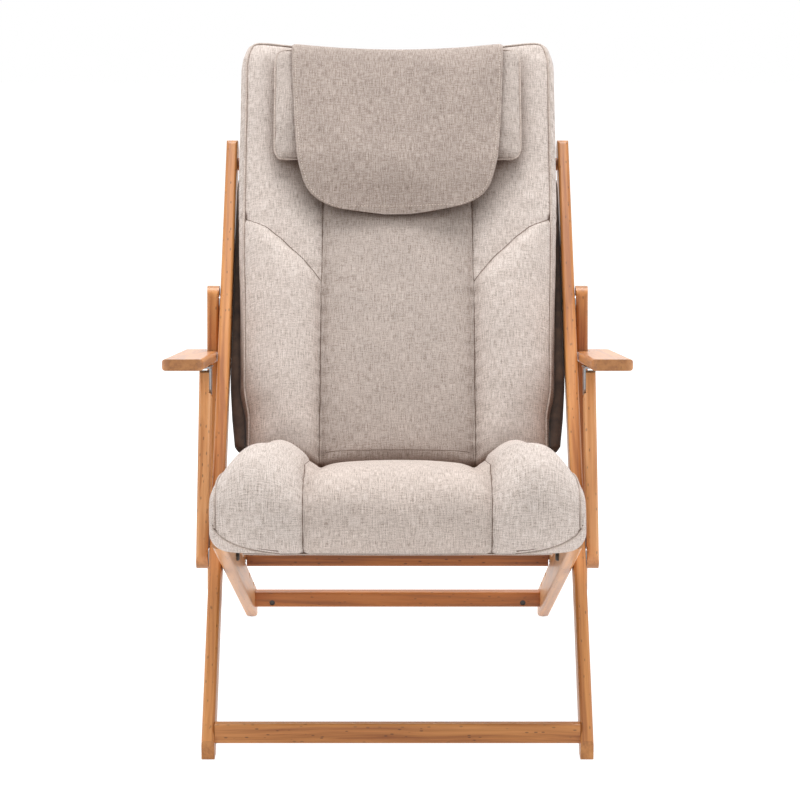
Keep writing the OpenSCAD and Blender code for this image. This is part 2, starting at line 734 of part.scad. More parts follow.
// Seat cushion: front point, rear point, half width and share of the rise, along its run
seat_run_shares = [0.05, 0.16, 0.3, 0.44, 0.58, 0.7];
seat_taper_share = 0.15;
function seat_rows() = [
    [[-0.5 * nose_out, -nose_drop], [-0.43 * nose_out, -0.95 * nose_drop], 0.82 * seat_pad_hw, 0],
    [[-0.75 * nose_out, -0.88 * nose_drop], [-0.93 * nose_back, -0.84 * nose_drop],
        0.93 * seat_pad_hw, 0.1],
    [[-0.9 * nose_out, -0.6 * nose_drop], [-nose_back, -0.55 * nose_drop], 0.98 * seat_pad_hw, 0.2],
    [[-0.97 * nose_out, -0.23 * nose_drop], [-nose_back, -0.2 * nose_drop], seat_pad_hw, 0.3],
    [[-nose_out, 0.18 * seat_full], [-0.99 * nose_back, 0.4 * seat_top], seat_pad_hw, 0.42],
    [[-0.95 * nose_out, 0.47 * seat_full], [-0.97 * nose_back, 0.9 * seat_top], seat_pad_hw, 0.6],
    [[-0.79 * nose_out, 0.72 * seat_full], [-0.7 * nose_back, seat_top], seat_pad_hw, 0.8],
    [[-0.56 * nose_out, 0.88 * seat_full], [-0.2 * nose_back, seat_top], 0.995 * seat_pad_hw, 0.95],
    [[-0.26 * nose_out, 0.97 * seat_full], [0.2 * nose_back, seat_top], 0.985 * seat_pad_hw, 1],
    for (s = seat_run_shares) [[s * seat_pad_len, seat_full + (seat_rear_full - seat_full) * s],
        [s * seat_pad_len, seat_top], seat_hw(s), 1],
    [seat_end(seat_rear_full, 3), seat_end(seat_top, 2), seat_pad_rear_hw, 0.9],
    [seat_end(0.9 * seat_rear_full, 1), seat_end(1.15 * seat_top, 1), seat_pad_rear_hw, 0.6],
    [seat_end(0.74 * seat_rear_full, 0.5), seat_end(1.5 * seat_top, 0.5), seat_pad_rear_hw, 0.2]];
function seat_hw(s) = seat_pad_hw + (seat_pad_rear_hw - seat_pad_hw) * eased(s / seat_taper_share);
function seat_end(v, gaps) =
    [seat_pad_len + v / tan(seat_split) - gaps * fold_gap / 2 / sin(seat_split), v];

function seat_rings() = [for (row = seat_rows()) ring(row[0], row[1],
    row[2], [for (s = across_shares) rise(s, seat_bolster_h * row[3], channel_depth * row[3], seat_power)],
    seat_side_share, across_shares)];

module seat_cushion() {
    color(linen) in_side(0, front_axis, seat_pad_angle) loft(seat_rings());
}

// A stiff panel whose half width changes along its pad, with a sleeve of its own half width
module panel(side, sleeve_hw) {
    sleeve_r = bar_d / 2 + soft_gap;
    difference() {
        union() {
            translate([0, sleeve_r, 0]) rotate([-90, 0, 0]) linear_extrude(panel_t)
                polygon([for (p = side) p, for (i = [len(side) - 1 : -1 : 0]) [side[i][0], -side[i][1]]]);
            translate([0, 0, -sleeve_hw]) cylinder(r = sleeve_r + panel_t / 4, h = 2 * sleeve_hw);
        }
        translate([0, 0, -sleeve_hw - over]) cylinder(r = sleeve_r, h = 2 * (sleeve_hw + over));
    }
}

module seat_panel() {
    color(brown) in_side(0, front_axis, seat_pad_angle)
        panel([[-bar_d / 2, seat_panel_hw], [seat_end(seat_top, 2)[0], seat_panel_hw]], seat_panel_hw);
}

module back_panel() {
    color(brown) in_side(0, top_axis, back_pad_angle)
        panel([[back_end(seat_top, 2)[0], seat_panel_hw], [back_x(0.2), seat_panel_hw],
            [back_x(0.2) + 2 * (back_panel_hw - seat_panel_hw), back_panel_hw],
            [back_x(0.55), back_panel_hw], [back_x(0.68), back_panel_top_hw],
            [back_pad_up - back_pad_t / 2 - top_dip, back_panel_top_hw]],
            back_panel_top_hw);
}

// Back cushion, measured along the back from the top bar
back_run_shares = [0.13, 0.2, 0.27, 0.36, 0.45, 0.53, 0.6, 0.66, 0.72, 0.84, 0.93];
function back_x(s) = -back_pad_len + s * (back_pad_len + back_pad_up);
function back_end(v, gaps) =
    [-back_pad_len + v / tan(back_split) + gaps * fold_gap / 2 / sin(back_split), v];
function back_hw(s) = back_pad_end_hw + (back_pad_low_hw - back_pad_end_hw) * eased((s - 0.13) / 0.07)
    + (back_pad_hw - back_pad_low_hw) * eased((s - 0.2) / 0.5);
function back_row(s) =
    let (low = 1 - eased((s - 0.5) / 0.2))
    [[back_x(s), back_front + back_crown * low * sin(180 * clamp(s / 0.7, 0, 1))], [back_x(s), seat_top],
        back_hw(s), low];
function back_rows() = [
    [back_end(0.8 * back_front, 0.5), back_end(1.6 * seat_top, 0.5), back_pad_end_hw, 0.2],
    [back_end(0.93 * back_front, 1), back_end(1.2 * seat_top, 1), back_pad_end_hw, 0.6],
    [back_end(back_front, 2.5), back_end(seat_top, 2), back_pad_end_hw, 1],
    for (s = back_run_shares) back_row(s),
    [[back_pad_up - 0.3 * back_pad_t, back_front - 0.08 * back_pad_t],
        [back_pad_up - 0.3 * back_pad_t, seat_top], 0.967 * back_pad_hw, 0],
    [[back_pad_up - 0.1 * back_pad_t, back_front - 0.24 * back_pad_t],
        [back_pad_up - 0.1 * back_pad_t, seat_top + 0.12 * back_pad_t], 0.94 * back_pad_hw, 0],
    [[back_pad_up, back_front - 0.42 * back_pad_t], [back_pad_up, seat_top + 0.3 * back_pad_t],
        0.885 * back_pad_hw, 0]];
dip_power = 1.8;
function dipped(r) = [for (p = r) [p[0] - top_dip * eased((p[0] - back_pad_up / 2) / (back_pad_up / 2))
    * (1 - pow(abs(p[2]) / back_pad_hw, dip_power)), p[1], p[2]]];

function back_rings() = [for (row = back_rows()) dipped(ring(row[0], row[1], row[2],
    [for (s = across_shares) rise(s, back_bolster_h * row[3], channel_depth * row[3], back_power)],
    back_side_share, across_shares))];

module back_cushion() {
    color(linen) in_side(0, top_axis, back_pad_angle) loft(back_rings());
}

// Head pillow and the flap that drapes over it and over the top of the back
pillow_back = back_front + soft_gap;
pillow_low = pillow_up - pillow_l;
pillow_side_share = 0.55;
flap_side_share = 0.94;
pillow_across_shares = [-1, -0.97, -0.92, -0.84, -0.72, -0.5, -0.25, 0,
    0.25, 0.5, 0.72, 0.84, 0.92, 0.97, 1];
pillow_run_shares = [[0, 0.3, 0.955], [0.03, 0.62, 0.985], [0.09, 0.86, 1], [0.2, 0.97, 1], [0.5, 1, 1],
    [0.8, 0.97, 1], [0.91, 0.84, 1], [0.97, 0.6, 0.985], [1, 0.3, 0.955]];

module head_pillow() {
    color(linen) in_side(0, top_axis, back_pad_angle)
        loft([for (row = pillow_run_shares) let (x = pillow_low + row[0] * pillow_l)
            dipped(ring([x, pillow_back + pillow_t * (0.5 + row[1] / 2)],
                [x, pillow_back + pillow_t * (0.5 - row[1] / 2)], row[2] * pillow_hw,
                [for (s = pillow_across_shares) 0], pillow_side_share, pillow_across_shares))]);
}

// The flap's run: place along the back, height above the back's line, share of the half width
flap_over = pillow_back + pillow_t + soft_gap + flap_t / 2;
flap_behind = bar_d / 2 - flap_t / 2;
flap_top = back_pad_up + 3 * soft_gap + flap_t / 2;
flap_lift = soft_gap + flap_t / 2;
flap_rows = [
    [pillow_low - flap_drop, pillow_back + 0.5 * pillow_t, 0.24],
    [pillow_low - 0.98 * flap_drop, pillow_back + 0.51 * pillow_t, 0.33],
    [pillow_low - 0.93 * flap_drop, pillow_back + 0.54 * pillow_t, 0.5],
    [pillow_low - 0.84 * flap_drop, pillow_back + 0.58 * pillow_t, 0.66],
    [pillow_low - 0.66 * flap_drop, pillow_back + 0.7 * pillow_t, 0.81],
    [pillow_low - 0.36 * flap_drop, pillow_back + 0.92 * pillow_t, 0.905],
    [pillow_low, flap_over - 0.02 * pillow_t, 0.94],
    [pillow_low + 0.25 * pillow_l, flap_over, 0.965],
    [pillow_low + 0.55 * pillow_l, flap_over, 0.985],
    [pillow_low + 0.84 * pillow_l, flap_over - 0.02 * pillow_t, 1],
    [pillow_up, flap_over - 0.17 * pillow_t, 1],
    [back_pad_up - 0.19 * back_pad_t + flap_lift, back_front - 0.13 * back_pad_t + flap_lift, 1],
    [back_pad_up - 0.07 * back_pad_t + flap_lift, back_front - 0.24 * back_pad_t + flap_lift, 1],
    [flap_top, seat_top + 0.58 * back_pad_t, 1],
    [flap_top, seat_top + 0.36 * back_pad_t, 1],
    [flap_top - 0.02 * back_pad_t, seat_top - 0.02 * back_pad_t, 1],
    [flap_top - 0.2 * back_pad_t, flap_behind + 0.04 * back_pad_t, 1],
    [flap_top - 0.5 * back_pad_t, flap_behind - 0.02 * back_pad_t, 1],
    [back_pad_up - flap_rear, flap_behind - 0.02 * back_pad_t, 1]];

function run_dir(rows, i) =
    let (a = rows[max(i - 1, 0)], b = rows[min(i + 1, len(rows) - 1)]) atan2(b[1] - a[1], b[0] - a[0]);

function flap_rings() = [for (i = [0 : len(flap_rows) - 1])
    let (row = flap_rows[i], side = run_dir(flap_rows, i) + 90, p = [row[0], row[1]])
    dipped(ring(ahead(p, side, flap_t / 2), ahead(p, side, -flap_t / 2),
        row[2] * flap_hw, [for (s = pillow_across_shares) 0], flap_side_share, pillow_across_shares))];

module head_flap() {
    color(linen) in_side(0, top_axis, back_pad_angle) loft(flap_rings());
}

// The middle of the chair from front to rear, where the origin lies
middle_y = (min(side_places(seat_rings(), front_axis, seat_pad_angle))
    + max(side_places(flap_rings(), top_axis, back_pad_angle))) / 2;

seat_board(-1);  // seat_board_left
seat_board(1);  // seat_board_right
front_bar();
rear_stretcher();
barrel_nut(-1);  // barrel_nut_left
barrel_nut(1);  // barrel_nut_right
stretcher_bolt(-1);  // stretcher_bolt_left
stretcher_bolt(1);  // stretcher_bolt_right
rear_glide(-1);  // rear_glide_left
rear_glide(1);  // rear_glide_right
main_bolt(-1);  // main_bolt_left
main_bolt(1);  // main_bolt_right
main_nut(-1);  // main_nut_left
main_nut(1);  // main_nut_right
inner_washer(-1);  // inner_washer_left
inner_washer(1);  // inner_washer_right
outer_washer(-1);  // outer_washer_left
outer_washer(1);  // outer_washer_right
long_rail(-1);  // long_rail_left
long_rail(1);  // long_rail_right
top_bar();
foot_bar();
front_glide(-1);  // front_glide_left
front_glide(1);  // front_glide_right
prop_bolt(-1);  // prop_bolt_left
prop_bolt(1);  // prop_bolt_right
prop_nut(-1);  // prop_nut_left
prop_nut(1);  // prop_nut_right
prop_washer(-1);  // prop_washer_left
prop_washer(1);  // prop_washer_right
prop_rail(-1);  // prop_rail_left
prop_rail(1);  // prop_rail_right
prop_bar();
rest_pin(-1);  // rest_pin_left
rest_pin(1);  // rest_pin_right
arm_post(-1);  // arm_post_left
arm_post(1);  // arm_post_right
arm_bolt(-1);  // arm_bolt_left
arm_bolt(1);  // arm_bolt_right
armrest(-1);  // armrest_left
armrest(1);  // armrest_right
arm_bracket(-1);  // arm_bracket_left
arm_bracket(1);  // arm_bracket_right
bracket_screw(-1, -1);  // bracket_screw_front_left
bracket_screw(-1, 1);  // bracket_screw_rear_left
bracket_screw(1, -1);  // bracket_screw_front_right
bracket_screw(1, 1);  // bracket_screw_rear_right
seat_panel();
seat_cushion();
back_panel();
back_cushion();
head_pillow();
head_flap();
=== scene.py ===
import json
import math

import bpy
import numpy as np
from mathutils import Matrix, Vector, noise


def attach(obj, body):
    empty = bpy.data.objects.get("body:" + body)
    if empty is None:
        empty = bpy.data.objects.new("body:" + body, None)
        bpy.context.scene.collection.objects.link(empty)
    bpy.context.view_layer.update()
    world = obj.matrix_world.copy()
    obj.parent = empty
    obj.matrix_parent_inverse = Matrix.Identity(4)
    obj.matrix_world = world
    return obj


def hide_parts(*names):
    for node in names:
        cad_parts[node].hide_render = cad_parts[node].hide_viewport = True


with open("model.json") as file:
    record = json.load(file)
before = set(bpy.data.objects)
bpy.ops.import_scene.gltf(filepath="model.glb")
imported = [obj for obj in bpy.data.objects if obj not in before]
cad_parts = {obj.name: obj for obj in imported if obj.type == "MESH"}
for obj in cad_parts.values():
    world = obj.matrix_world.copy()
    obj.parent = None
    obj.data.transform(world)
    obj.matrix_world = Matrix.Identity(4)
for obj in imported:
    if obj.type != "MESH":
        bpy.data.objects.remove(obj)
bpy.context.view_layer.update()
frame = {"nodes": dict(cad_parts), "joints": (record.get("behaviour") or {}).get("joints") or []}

# Sizes are in mm, in the pads' own frames: u along the pad, v square to it, x across the chair.
# HW is a half width. The angles are those the pads lie at, in degrees, in side view.
SEAT_ANGLE, BACK_ANGLE = -8.0115, 58.3084
# Seat: length and half widths, then the heights of its underside and of its top in front and at the rear
SEAT_LEN, SEAT_HW, SEAT_REAR_HW = 411, 280, 252
SEAT_LOW, SEAT_FULL, SEAT_REAR_FULL = 23.6, 81.6, 59.6
# The seat's nose: how far it comes out, how far it hangs down and where its inner side lies
NOSE_OUT, NOSE_DROP, NOSE_BACK = 88, 38, 44
# Slopes of the two ends that meet in the fold, and the gap between them
SEAT_SPLIT, BACK_SPLIT, FOLD_GAP = math.radians(140.265), math.radians(73.9453), 11
# Back: its reach below and above the joint, the height of its front face and its thickness
BACK_LEN, BACK_UP, BACK_FRONT, BACK_T = 618.864, 212, 89.6, 66
BACK_END_HW, BACK_LOW_HW, BACK_HW = 255, 264, 274
# How far the middle of the back's top edge dips, and how fast the dip fades to the sides
TOP_DIP, DIP_POWER = 26, 1.8
# Pillow: its upper edge, length, thickness and half width
PILLOW_UP, PILLOW_L, PILLOW_T, PILLOW_HW = 173, 218, 42, 211
# Flap: half width, thickness, how far it hangs below the pillow and down behind the back
FLAP_HW, FLAP_T, FLAP_DROP, FLAP_REAR = 183, 3.2, 103, 120
# Place across of the back's two upright seams
VERTICAL_SEAM = 127.5


# ---------------------------------------------------------------- shapes
def eased(v):
    c = np.clip(v, 0, 1)
    return c * c * (3 - 2 * c)


class Pad:
    """A pad's own frame, at the joint it turns on."""

    def __init__(self, joint, angle):
        row = [j for j in frame["joints"] if j["name"] == joint][0]
        self.y, self.z = row["pos_m"][1] * 1000, row["pos_m"][2] * 1000
        self.c, self.s = math.cos(math.radians(angle)), math.sin(math.radians(angle))

    def world(self, p):
        p = np.asarray(p, float)
        u, v, x = p[..., 0], p[..., 1], p[..., 2]
        return np.stack([x, self.y + u * self.c - v * self.s, self.z + u * self.s + v * self.c], -1) / 1000


SEAT = Pad("seat_tilt", SEAT_ANGLE)
BACK = Pad("back_tilt", BACK_ANGLE)


def through(keys, places, at):
    """Values at some places on a smooth line through the keys, which it never overshoots."""
    keys, places, at = (np.asarray(a, float) for a in (keys, places, at))
    h = np.diff(places)[:, None]
    d = np.diff(keys, axis=0) / h
    m = np.zeros_like(keys)
    with np.errstate(divide="ignore", invalid="ignore"):
        inner = 2 * d[:-1] * d[1:] / (d[:-1] + d[1:])
    m[1:-1] = np.where(d[:-1] * d[1:] > 0, inner, 0)
    m[0], m[-1] = d[0], d[-1]
    i = np.clip(np.searchsorted(places, at, side="right") - 1, 0, len(places) - 2)
    t = ((at - places[i]) / (places[i + 1] - places[i]))[:, None]
    a, b, hi = keys[i], keys[i + 1], h[i]
    return (a * (2 * t**3 - 3 * t**2 + 1) + m[i] * hi * (t**3 - 2 * t**2 + t)
            + b * (3 * t**2 - 2 * t**3) + m[i + 1] * hi * (t**3 - t**2))


def dense(rows, step):
    """Rows at an even step along the front face. Returns them and how far along each is."""
    rows = np.asarray(rows, float)
    mid = (rows[:, :2] + rows[:, 2:4]) / 2
    place = np.concatenate([[0], np.cumsum(np.maximum(
        np.linalg.norm(np.diff(rows[:, :2], axis=0), axis=1),
        np.linalg.norm(np.diff(mid, axis=0), axis=1)))])
    at = np.linspace(0, place[-1], int(place[-1] / step) + 2)
    return through(rows, place, at), at


def across(start, power, step, hw):
    """Places across as shares of the half width, and how full the pad is at each."""
    rounds = max(int((1 - start) * hw * 1.4 / step), 3)
    t = np.linspace(0, math.pi / 2, rounds + 1)[1:]
    out = start + (1 - start) * np.sin(t) ** (2 / power)
    full = np.cos(t) ** (2 / power)
    full[-1] = 0
    flat = np.linspace(-start, start, 2 * int(start * hw / step) + 1)
    return (np.concatenate([-out[::-1], flat, out]),
            np.concatenate([full[::-1], np.ones(len(flat)), full]))


def mesh_object(name, points, faces, smooth=True):
    mesh = bpy.data.meshes.new(name)
    mesh.from_pydata([tuple(p) for p in points], [], [tuple(int(i) for i in f) for f in faces])
    mesh.validate()
    if smooth:
        mesh.shade_smooth()
    obj = bpy.data.objects.new(name, mesh)
    bpy.context.collection.objects.link(obj)
    return obj


class Loft:
    """A closed pad of rings across the chair: each ring has a front side and a rear side."""

    def __init__(self, name, pad, rows, step, start, power, lift, bend=None, hw=None):
        self.rows, self.run = dense(rows, step)
        self.s, full = across(start, power, step, hw or self.rows[:, 4].max())
        n = len(self.s)
        rings = []
        for row, run in zip(self.rows, self.run):
            front, rear, half = row[0:2], row[2:4], row[4]
            mid, span = (front + rear) / 2, front - rear
            out = span / max(np.linalg.norm(span), 1e-6)
            x = self.s * half
            rise = lift(row, x) if lift else 0 * x
            top = mid + span / 2 * full[:, None] + out * (rise * full)[:, None]
            low = mid - span / 2 * full[:, None]
            ring = np.concatenate([np.column_stack([top, x]), np.column_stack([low, x])[-2:0:-1]])
            rings.append(ring)
        self.rings = np.array(rings)
        if bend:
            self.rings = bend(self.rings)
        m, k = len(rings), 2 * n - 2
        faces = [(i * k + j, i * k + (j + 1) % k, (i + 1) * k + (j + 1) % k, (i + 1) * k + j)
                 for i in range(m - 1) for j in range(k)]
        for end, flip in ((0, False), (m - 1, True)):
            ladder = [(j, j + 1, (k - j - 1) % k, (k - j) % k) for j in range(1, n - 2)]
            ladder += [(0, 1, k - 1), (n - 2, n - 1, n)]
            faces += [tuple(end * k + a for a in (f[::-1] if flip else f)) for f in ladder]
        self.n, self.m, self.k = n, m, k
        self.obj = mesh_object(name, pad.world(self.rings.reshape(-1, 3)), faces)
        self.marks()

    def marks(self):
        """Keeps on each vertex how far along the run it is and which side it is on."""
        mesh = self.obj.data
        run = np.repeat(self.run, self.k)
        col = np.tile(np.arange(self.k), self.m)
        side = np.where(col < self.n, 1.0, 0.0)
        for name, values in (("run", run), ("side", side)):
            mesh.attributes.new(name, "FLOAT", "POINT").data.foreach_set("value", values.astype(np.float32))
        uv = mesh.uv_layers.new(name="cloth")
        index = np.zeros(len(mesh.loops), int)
        mesh.loops.foreach_get("vertex_index", index)
        x = self.rings[..., 2].reshape(-1)
        flat = np.column_stack([x[index], run[index]]).astype(np.float32)
        uv.data.foreach_set("uv", flat.reshape(-1) / 1000)

    def column(self, share, rear=False):
        """Vertex numbers along the run at one share of the half width."""
        j = int(np.argmin(abs(self.s - share)))
        return [i * self.k + ((self.k - j) % self.k if rear else j) for i in range(self.m)]

    def row(self, place, low, high, rear=False):
        """Vertex numbers across at one place along the run."""
        i = int(np.argmin(abs(self.run - place)))
        js = [j for j in range(self.n) if low <= self.s[j] <= high]
        return [i * self.k + ((self.k - j) % self.k if rear else j) for j in js]


def coords(obj):
    co = np.zeros(len(obj.data.vertices) * 3)
    obj.data.vertices.foreach_get("co", co)
    return co.reshape(-1, 3)


def set_coords(obj, co):
    obj.data.vertices.foreach_set("co", np.asarray(co, float).reshape(-1))
    obj.data.update()


def values(obj, name):
    out = np.zeros(len(obj.data.vertices))
    obj.data.attributes[name].data.foreach_get("value", out)
    return out


def normals(obj):
    out = np.zeros(len(obj.data.vertices) * 3)
    obj.data.vertices.foreach_get("normal", out)
    return out.reshape(-1, 3)


def fix_mesh(obj):
    """Applies the object's modifiers to its mesh."""
    bpy.context.view_layer.update()
    done = bpy.data.meshes.new_from_object(obj.evaluated_get(bpy.context.evaluated_depsgraph_get()))
    obj.modifiers.clear()
    obj.data = done
    obj.data.shade_smooth()


def refine(obj):
    obj.modifiers.new("finer", "SUBSURF").levels = 1
    obj.modifiers["finer"].render_levels = 1
    fix_mesh(obj)


CLOTH_PRESSURE, CLOTH_FRAMES = 4.0, 20


def swell(obj, held, cap):
    """Inflates a pad with Blender's cloth, with no point moved over cap mm.

    held is how firmly each vertex stays in its place.
    """
    start = coords(obj)
    group = obj.vertex_groups.new(name="held")
    for weight in np.unique(np.round(held, 2)):
        if weight > 0:
            ids = np.nonzero(np.round(held, 2) == weight)[0]
            group.add([int(i) for i in ids], float(weight), "REPLACE")
    cloth = obj.modifiers.new("cloth", "CLOTH")
    cloth.settings.quality = 4
    cloth.settings.mass = 0.3
    cloth.settings.tension_stiffness = cloth.settings.compression_stiffness = 20
    cloth.settings.shear_stiffness = 6
    cloth.settings.bending_stiffness = 0.6
    cloth.settings.use_pressure = True
    cloth.settings.uniform_pressure_force = CLOTH_PRESSURE
    cloth.settings.effector_weights.gravity = 0
    cloth.settings.vertex_group_mass = "held"
    cloth.settings.pin_stiffness = 1
    cloth.collision_settings.use_collision = False
    cloth.point_cache.frame_start, cloth.point_cache.frame_end = 1, CLOTH_FRAMES
    scene = bpy.context.scene
    for f in range(1, CLOTH_FRAMES + 1):
        scene.frame_set(f)
    moved = obj.evaluated_get(bpy.context.evaluated_depsgraph_get()).data
    co = np.zeros(len(moved.vertices) * 3)
    moved.vertices.foreach_get("co", co)
    step = co.reshape(-1, 3) - start
    size = np.linalg.norm(step, axis=1, keepdims=True) * 1000
    step *= np.where(size > 1e-6, cap * np.tanh(size / cap) / np.maximum(size, 1e-6), 0)
    obj.modifiers.remove(cloth)
    obj.vertex_groups.clear()
    set_coords(obj, start + step)
    scene.frame_set(1)


def wrinkled(co, size, seed):
    """Smooth noise from -1 to 1 at points, for creases of about that size in mm."""
    shift = Vector((seed * 7.1, seed * 3.7, seed * 1.9))
    return np.array([noise.noise(Vector(p) * (1000 / size) + shift) for p in co])


# ---------------------------------------------------------------- trim
def tube(name, line, radius, sides=8, closed=False):
    """A round welt along a line of points in metres, with one radius in mm or one for each point."""
    line = np.asarray(line, float)
    radii = np.broadcast_to(np.asarray(radius, float), len(line))
    ahead = np.roll(line, -1, 0) - np.roll(line, 1, 0)
    if not closed:
        ahead[0], ahead[-1] = line[1] - line[0], line[-1] - line[-2]
    ahead /= np.linalg.norm(ahead, axis=1, keepdims=True)
    side = np.cross(ahead[0], (0.31, 0.17, 0.94))
    rings = []
    for p, a, r in zip(line, ahead, radii):
        side = side - a * (side @ a)
        side /= np.linalg.norm(side)
        up = np.cross(a, side)
        turn = np.linspace(0, 2 * math.pi, sides, endpoint=False)
        rings.append(p + r / 1000 * (np.outer(np.cos(turn), side) + np.outer(np.sin(turn), up)))
    m = len(rings)
    faces = [(i * sides + j, i * sides + (j + 1) % sides,
              ((i + 1) % m) * sides + (j + 1) % sides, ((i + 1) % m) * sides + j)
             for i in range(m if closed else m - 1) for j in range(sides)]
    if not closed:
        faces += [tuple(range(sides))[::-1], tuple((m - 1) * sides + j for j in range(sides))]
    obj = mesh_object(name, np.concatenate(rings), faces)
    length = np.concatenate([[0], np.cumsum(np.linalg.norm(np.diff(line, axis=0), axis=1))])
    uv = obj.data.uv_layers.new(name="cloth")
    index = np.zeros(len(obj.data.loops), int)
    obj.data.loops.foreach_get("vertex_index", index)
    around = (index % sides) * (2 * math.pi * radii.mean() / 1000 / sides)
    flat = np.column_stack([around, length[index // sides]]).astype(np.float32)
    uv.data.foreach_set("uv", flat.reshape(-1))
    return obj


def evenly(line, step):
    """The same line with points at an even step, in mm."""
    line = np.asarray(line, float)
    place = np.concatenate([[0], np.cumsum(np.linalg.norm(np.diff(line, axis=0), axis=1))]) * 1000
    keep = np.concatenate([[True], np.diff(place) > 1e-3])
    line, place = line[keep], place[keep]
    at = np.linspace(0, place[-1], max(int(place[-1] / step), 2) + 1)
    return np.column_stack([np.interp(at, place, line[:, i]) for i in range(3)])


def softened(line, times):
    """The line, its points drawn towards the middle of their neighbours that many times."""
    line = np.array(line, float)
    for _ in range(times):
        line[1:-1] = line[1:-1] / 2 + (line[:-2] + line[2:]) / 4
    return line


# Place along a stitch, thickness as a share of the thread's and height in radii
STITCH_SHAPE = ((0, 0.35, -0.6), (0.2, 0.9, 0.1), (0.5, 1, 0.35), (0.8, 0.9, 0.1), (1, 0.35, -0.6))


def stitches(name, line, outward, pitch=5.0, length=3.4, radius=0.55, sink=0.15):
    """A row of thread stitches along a line, lying on the side that outward says."""
    points = evenly(line, 1.0)
    away = np.column_stack([np.interp(np.linspace(0, 1, len(points)), np.linspace(0, 1, len(outward)),
                                      np.asarray(outward)[:, i]) for i in range(3)])
    verts, faces = [], []
    count = int((len(points) - 1) / pitch)
    for c in range(count):
        i = int(c * pitch)
        k = min(i + int(round(length)), len(points) - 1)
        a, b = points[i], points[k]
        d = (b - a) / max(np.linalg.norm(b - a), 1e-9)
        n = away[i] / max(np.linalg.norm(away[i]), 1e-9)
        w = np.cross(d, n)
        base = len(verts)
        for share, fat, up in STITCH_SHAPE:
            p = a + (b - a) * share + n * (up * radius - sink) / 1000
            for t in range(6):
                q = 2 * math.pi * t / 6
                verts.append(p + fat * radius / 1000 * (math.cos(q) * w + math.sin(q) * n))
        for low in range(base, base + 24, 6):
            faces += [(low + t, low + (t + 1) % 6, low + 6 + (t + 1) % 6, low + 6 + t) for t in range(6)]
        faces += [tuple(base + t for t in range(6))[::-1], tuple(base + 24 + t for t in range(6))]
    return mesh_object(name, verts, faces)


# ---------------------------------------------------------------- materials
def linear(*rgb):
    """A colour given as it shows on a screen, 0 to 255."""
    f = [c / 255 for c in rgb]
    return tuple(c / 12.92 if c <= 0.04045 else ((c + 0.055) / 1.055) ** 2.4 for c in f) + (1.0,)


class Look:
    """A material and short ways to add nodes to it."""

    def __init__(self, name, **sockets):
        self.mat = bpy.data.materials.new(name)
        self.mat.use_nodes = True
        self.tree = self.mat.node_tree
        self.shader = self.tree.nodes["Principled BSDF"]
        self.put(self.shader, sockets)

    def put(self, node, sockets):
        for key, value in sockets.items():
            socket = node.inputs[key.replace("_", " ") if isinstance(key, str) else key]
            if isinstance(value, bpy.types.NodeSocket):
                self.tree.links.new(value, socket)
            else:
                socket.default_value = value

    def add(self, kind, sockets=None, **settings):
        node = self.tree.nodes.new("ShaderNode" + kind)
        for key, value in settings.items():
            setattr(node, key, value)
        self.put(node, sockets or {})
        return node

    def math(self, op, a, b=0.0):
        return self.add("Math", {0: a, 1: b}, operation=op).outputs[0]

    def mix(self, amount, a, b, blend="MIX"):
        node = self.add("Mix", {0: amount, 6: a, 7: b}, data_type="RGBA", blend_type=blend)
        return node.outputs[2]

    def ramp(self, value, *stops):
        node = self.add("ValToRGB", {0: value})
        cr = node.color_ramp
        while len(cr.elements) < len(stops):
            cr.elements.new(0.5)
        for e, (place, colour) in zip(cr.elements, stops):
            e.position, e.color = place, colour
        return node.outputs[0]

    def place(self, source, scale, turn=(0, 0, 0)):
        return self.add("Mapping", {"Vector": source, "Scale": scale, "Rotation": turn}).outputs[0]

    def grain(self, vector, scale, detail=3.0, rough=0.55):
        sockets = {"Vector": vector, "Scale": scale, "Detail": detail, "Roughness": rough}
        return self.add("TexNoise", sockets).outputs[0]

    def bump(self, height, strength, distance, before=None):
        sockets = {"Height": height, "Strength": strength, "Distance": distance}
        if before:
            sockets["Normal"] = before
        return self.add("Bump", sockets).outputs[0]


def grey(v):
    return (v, v, v, 1)


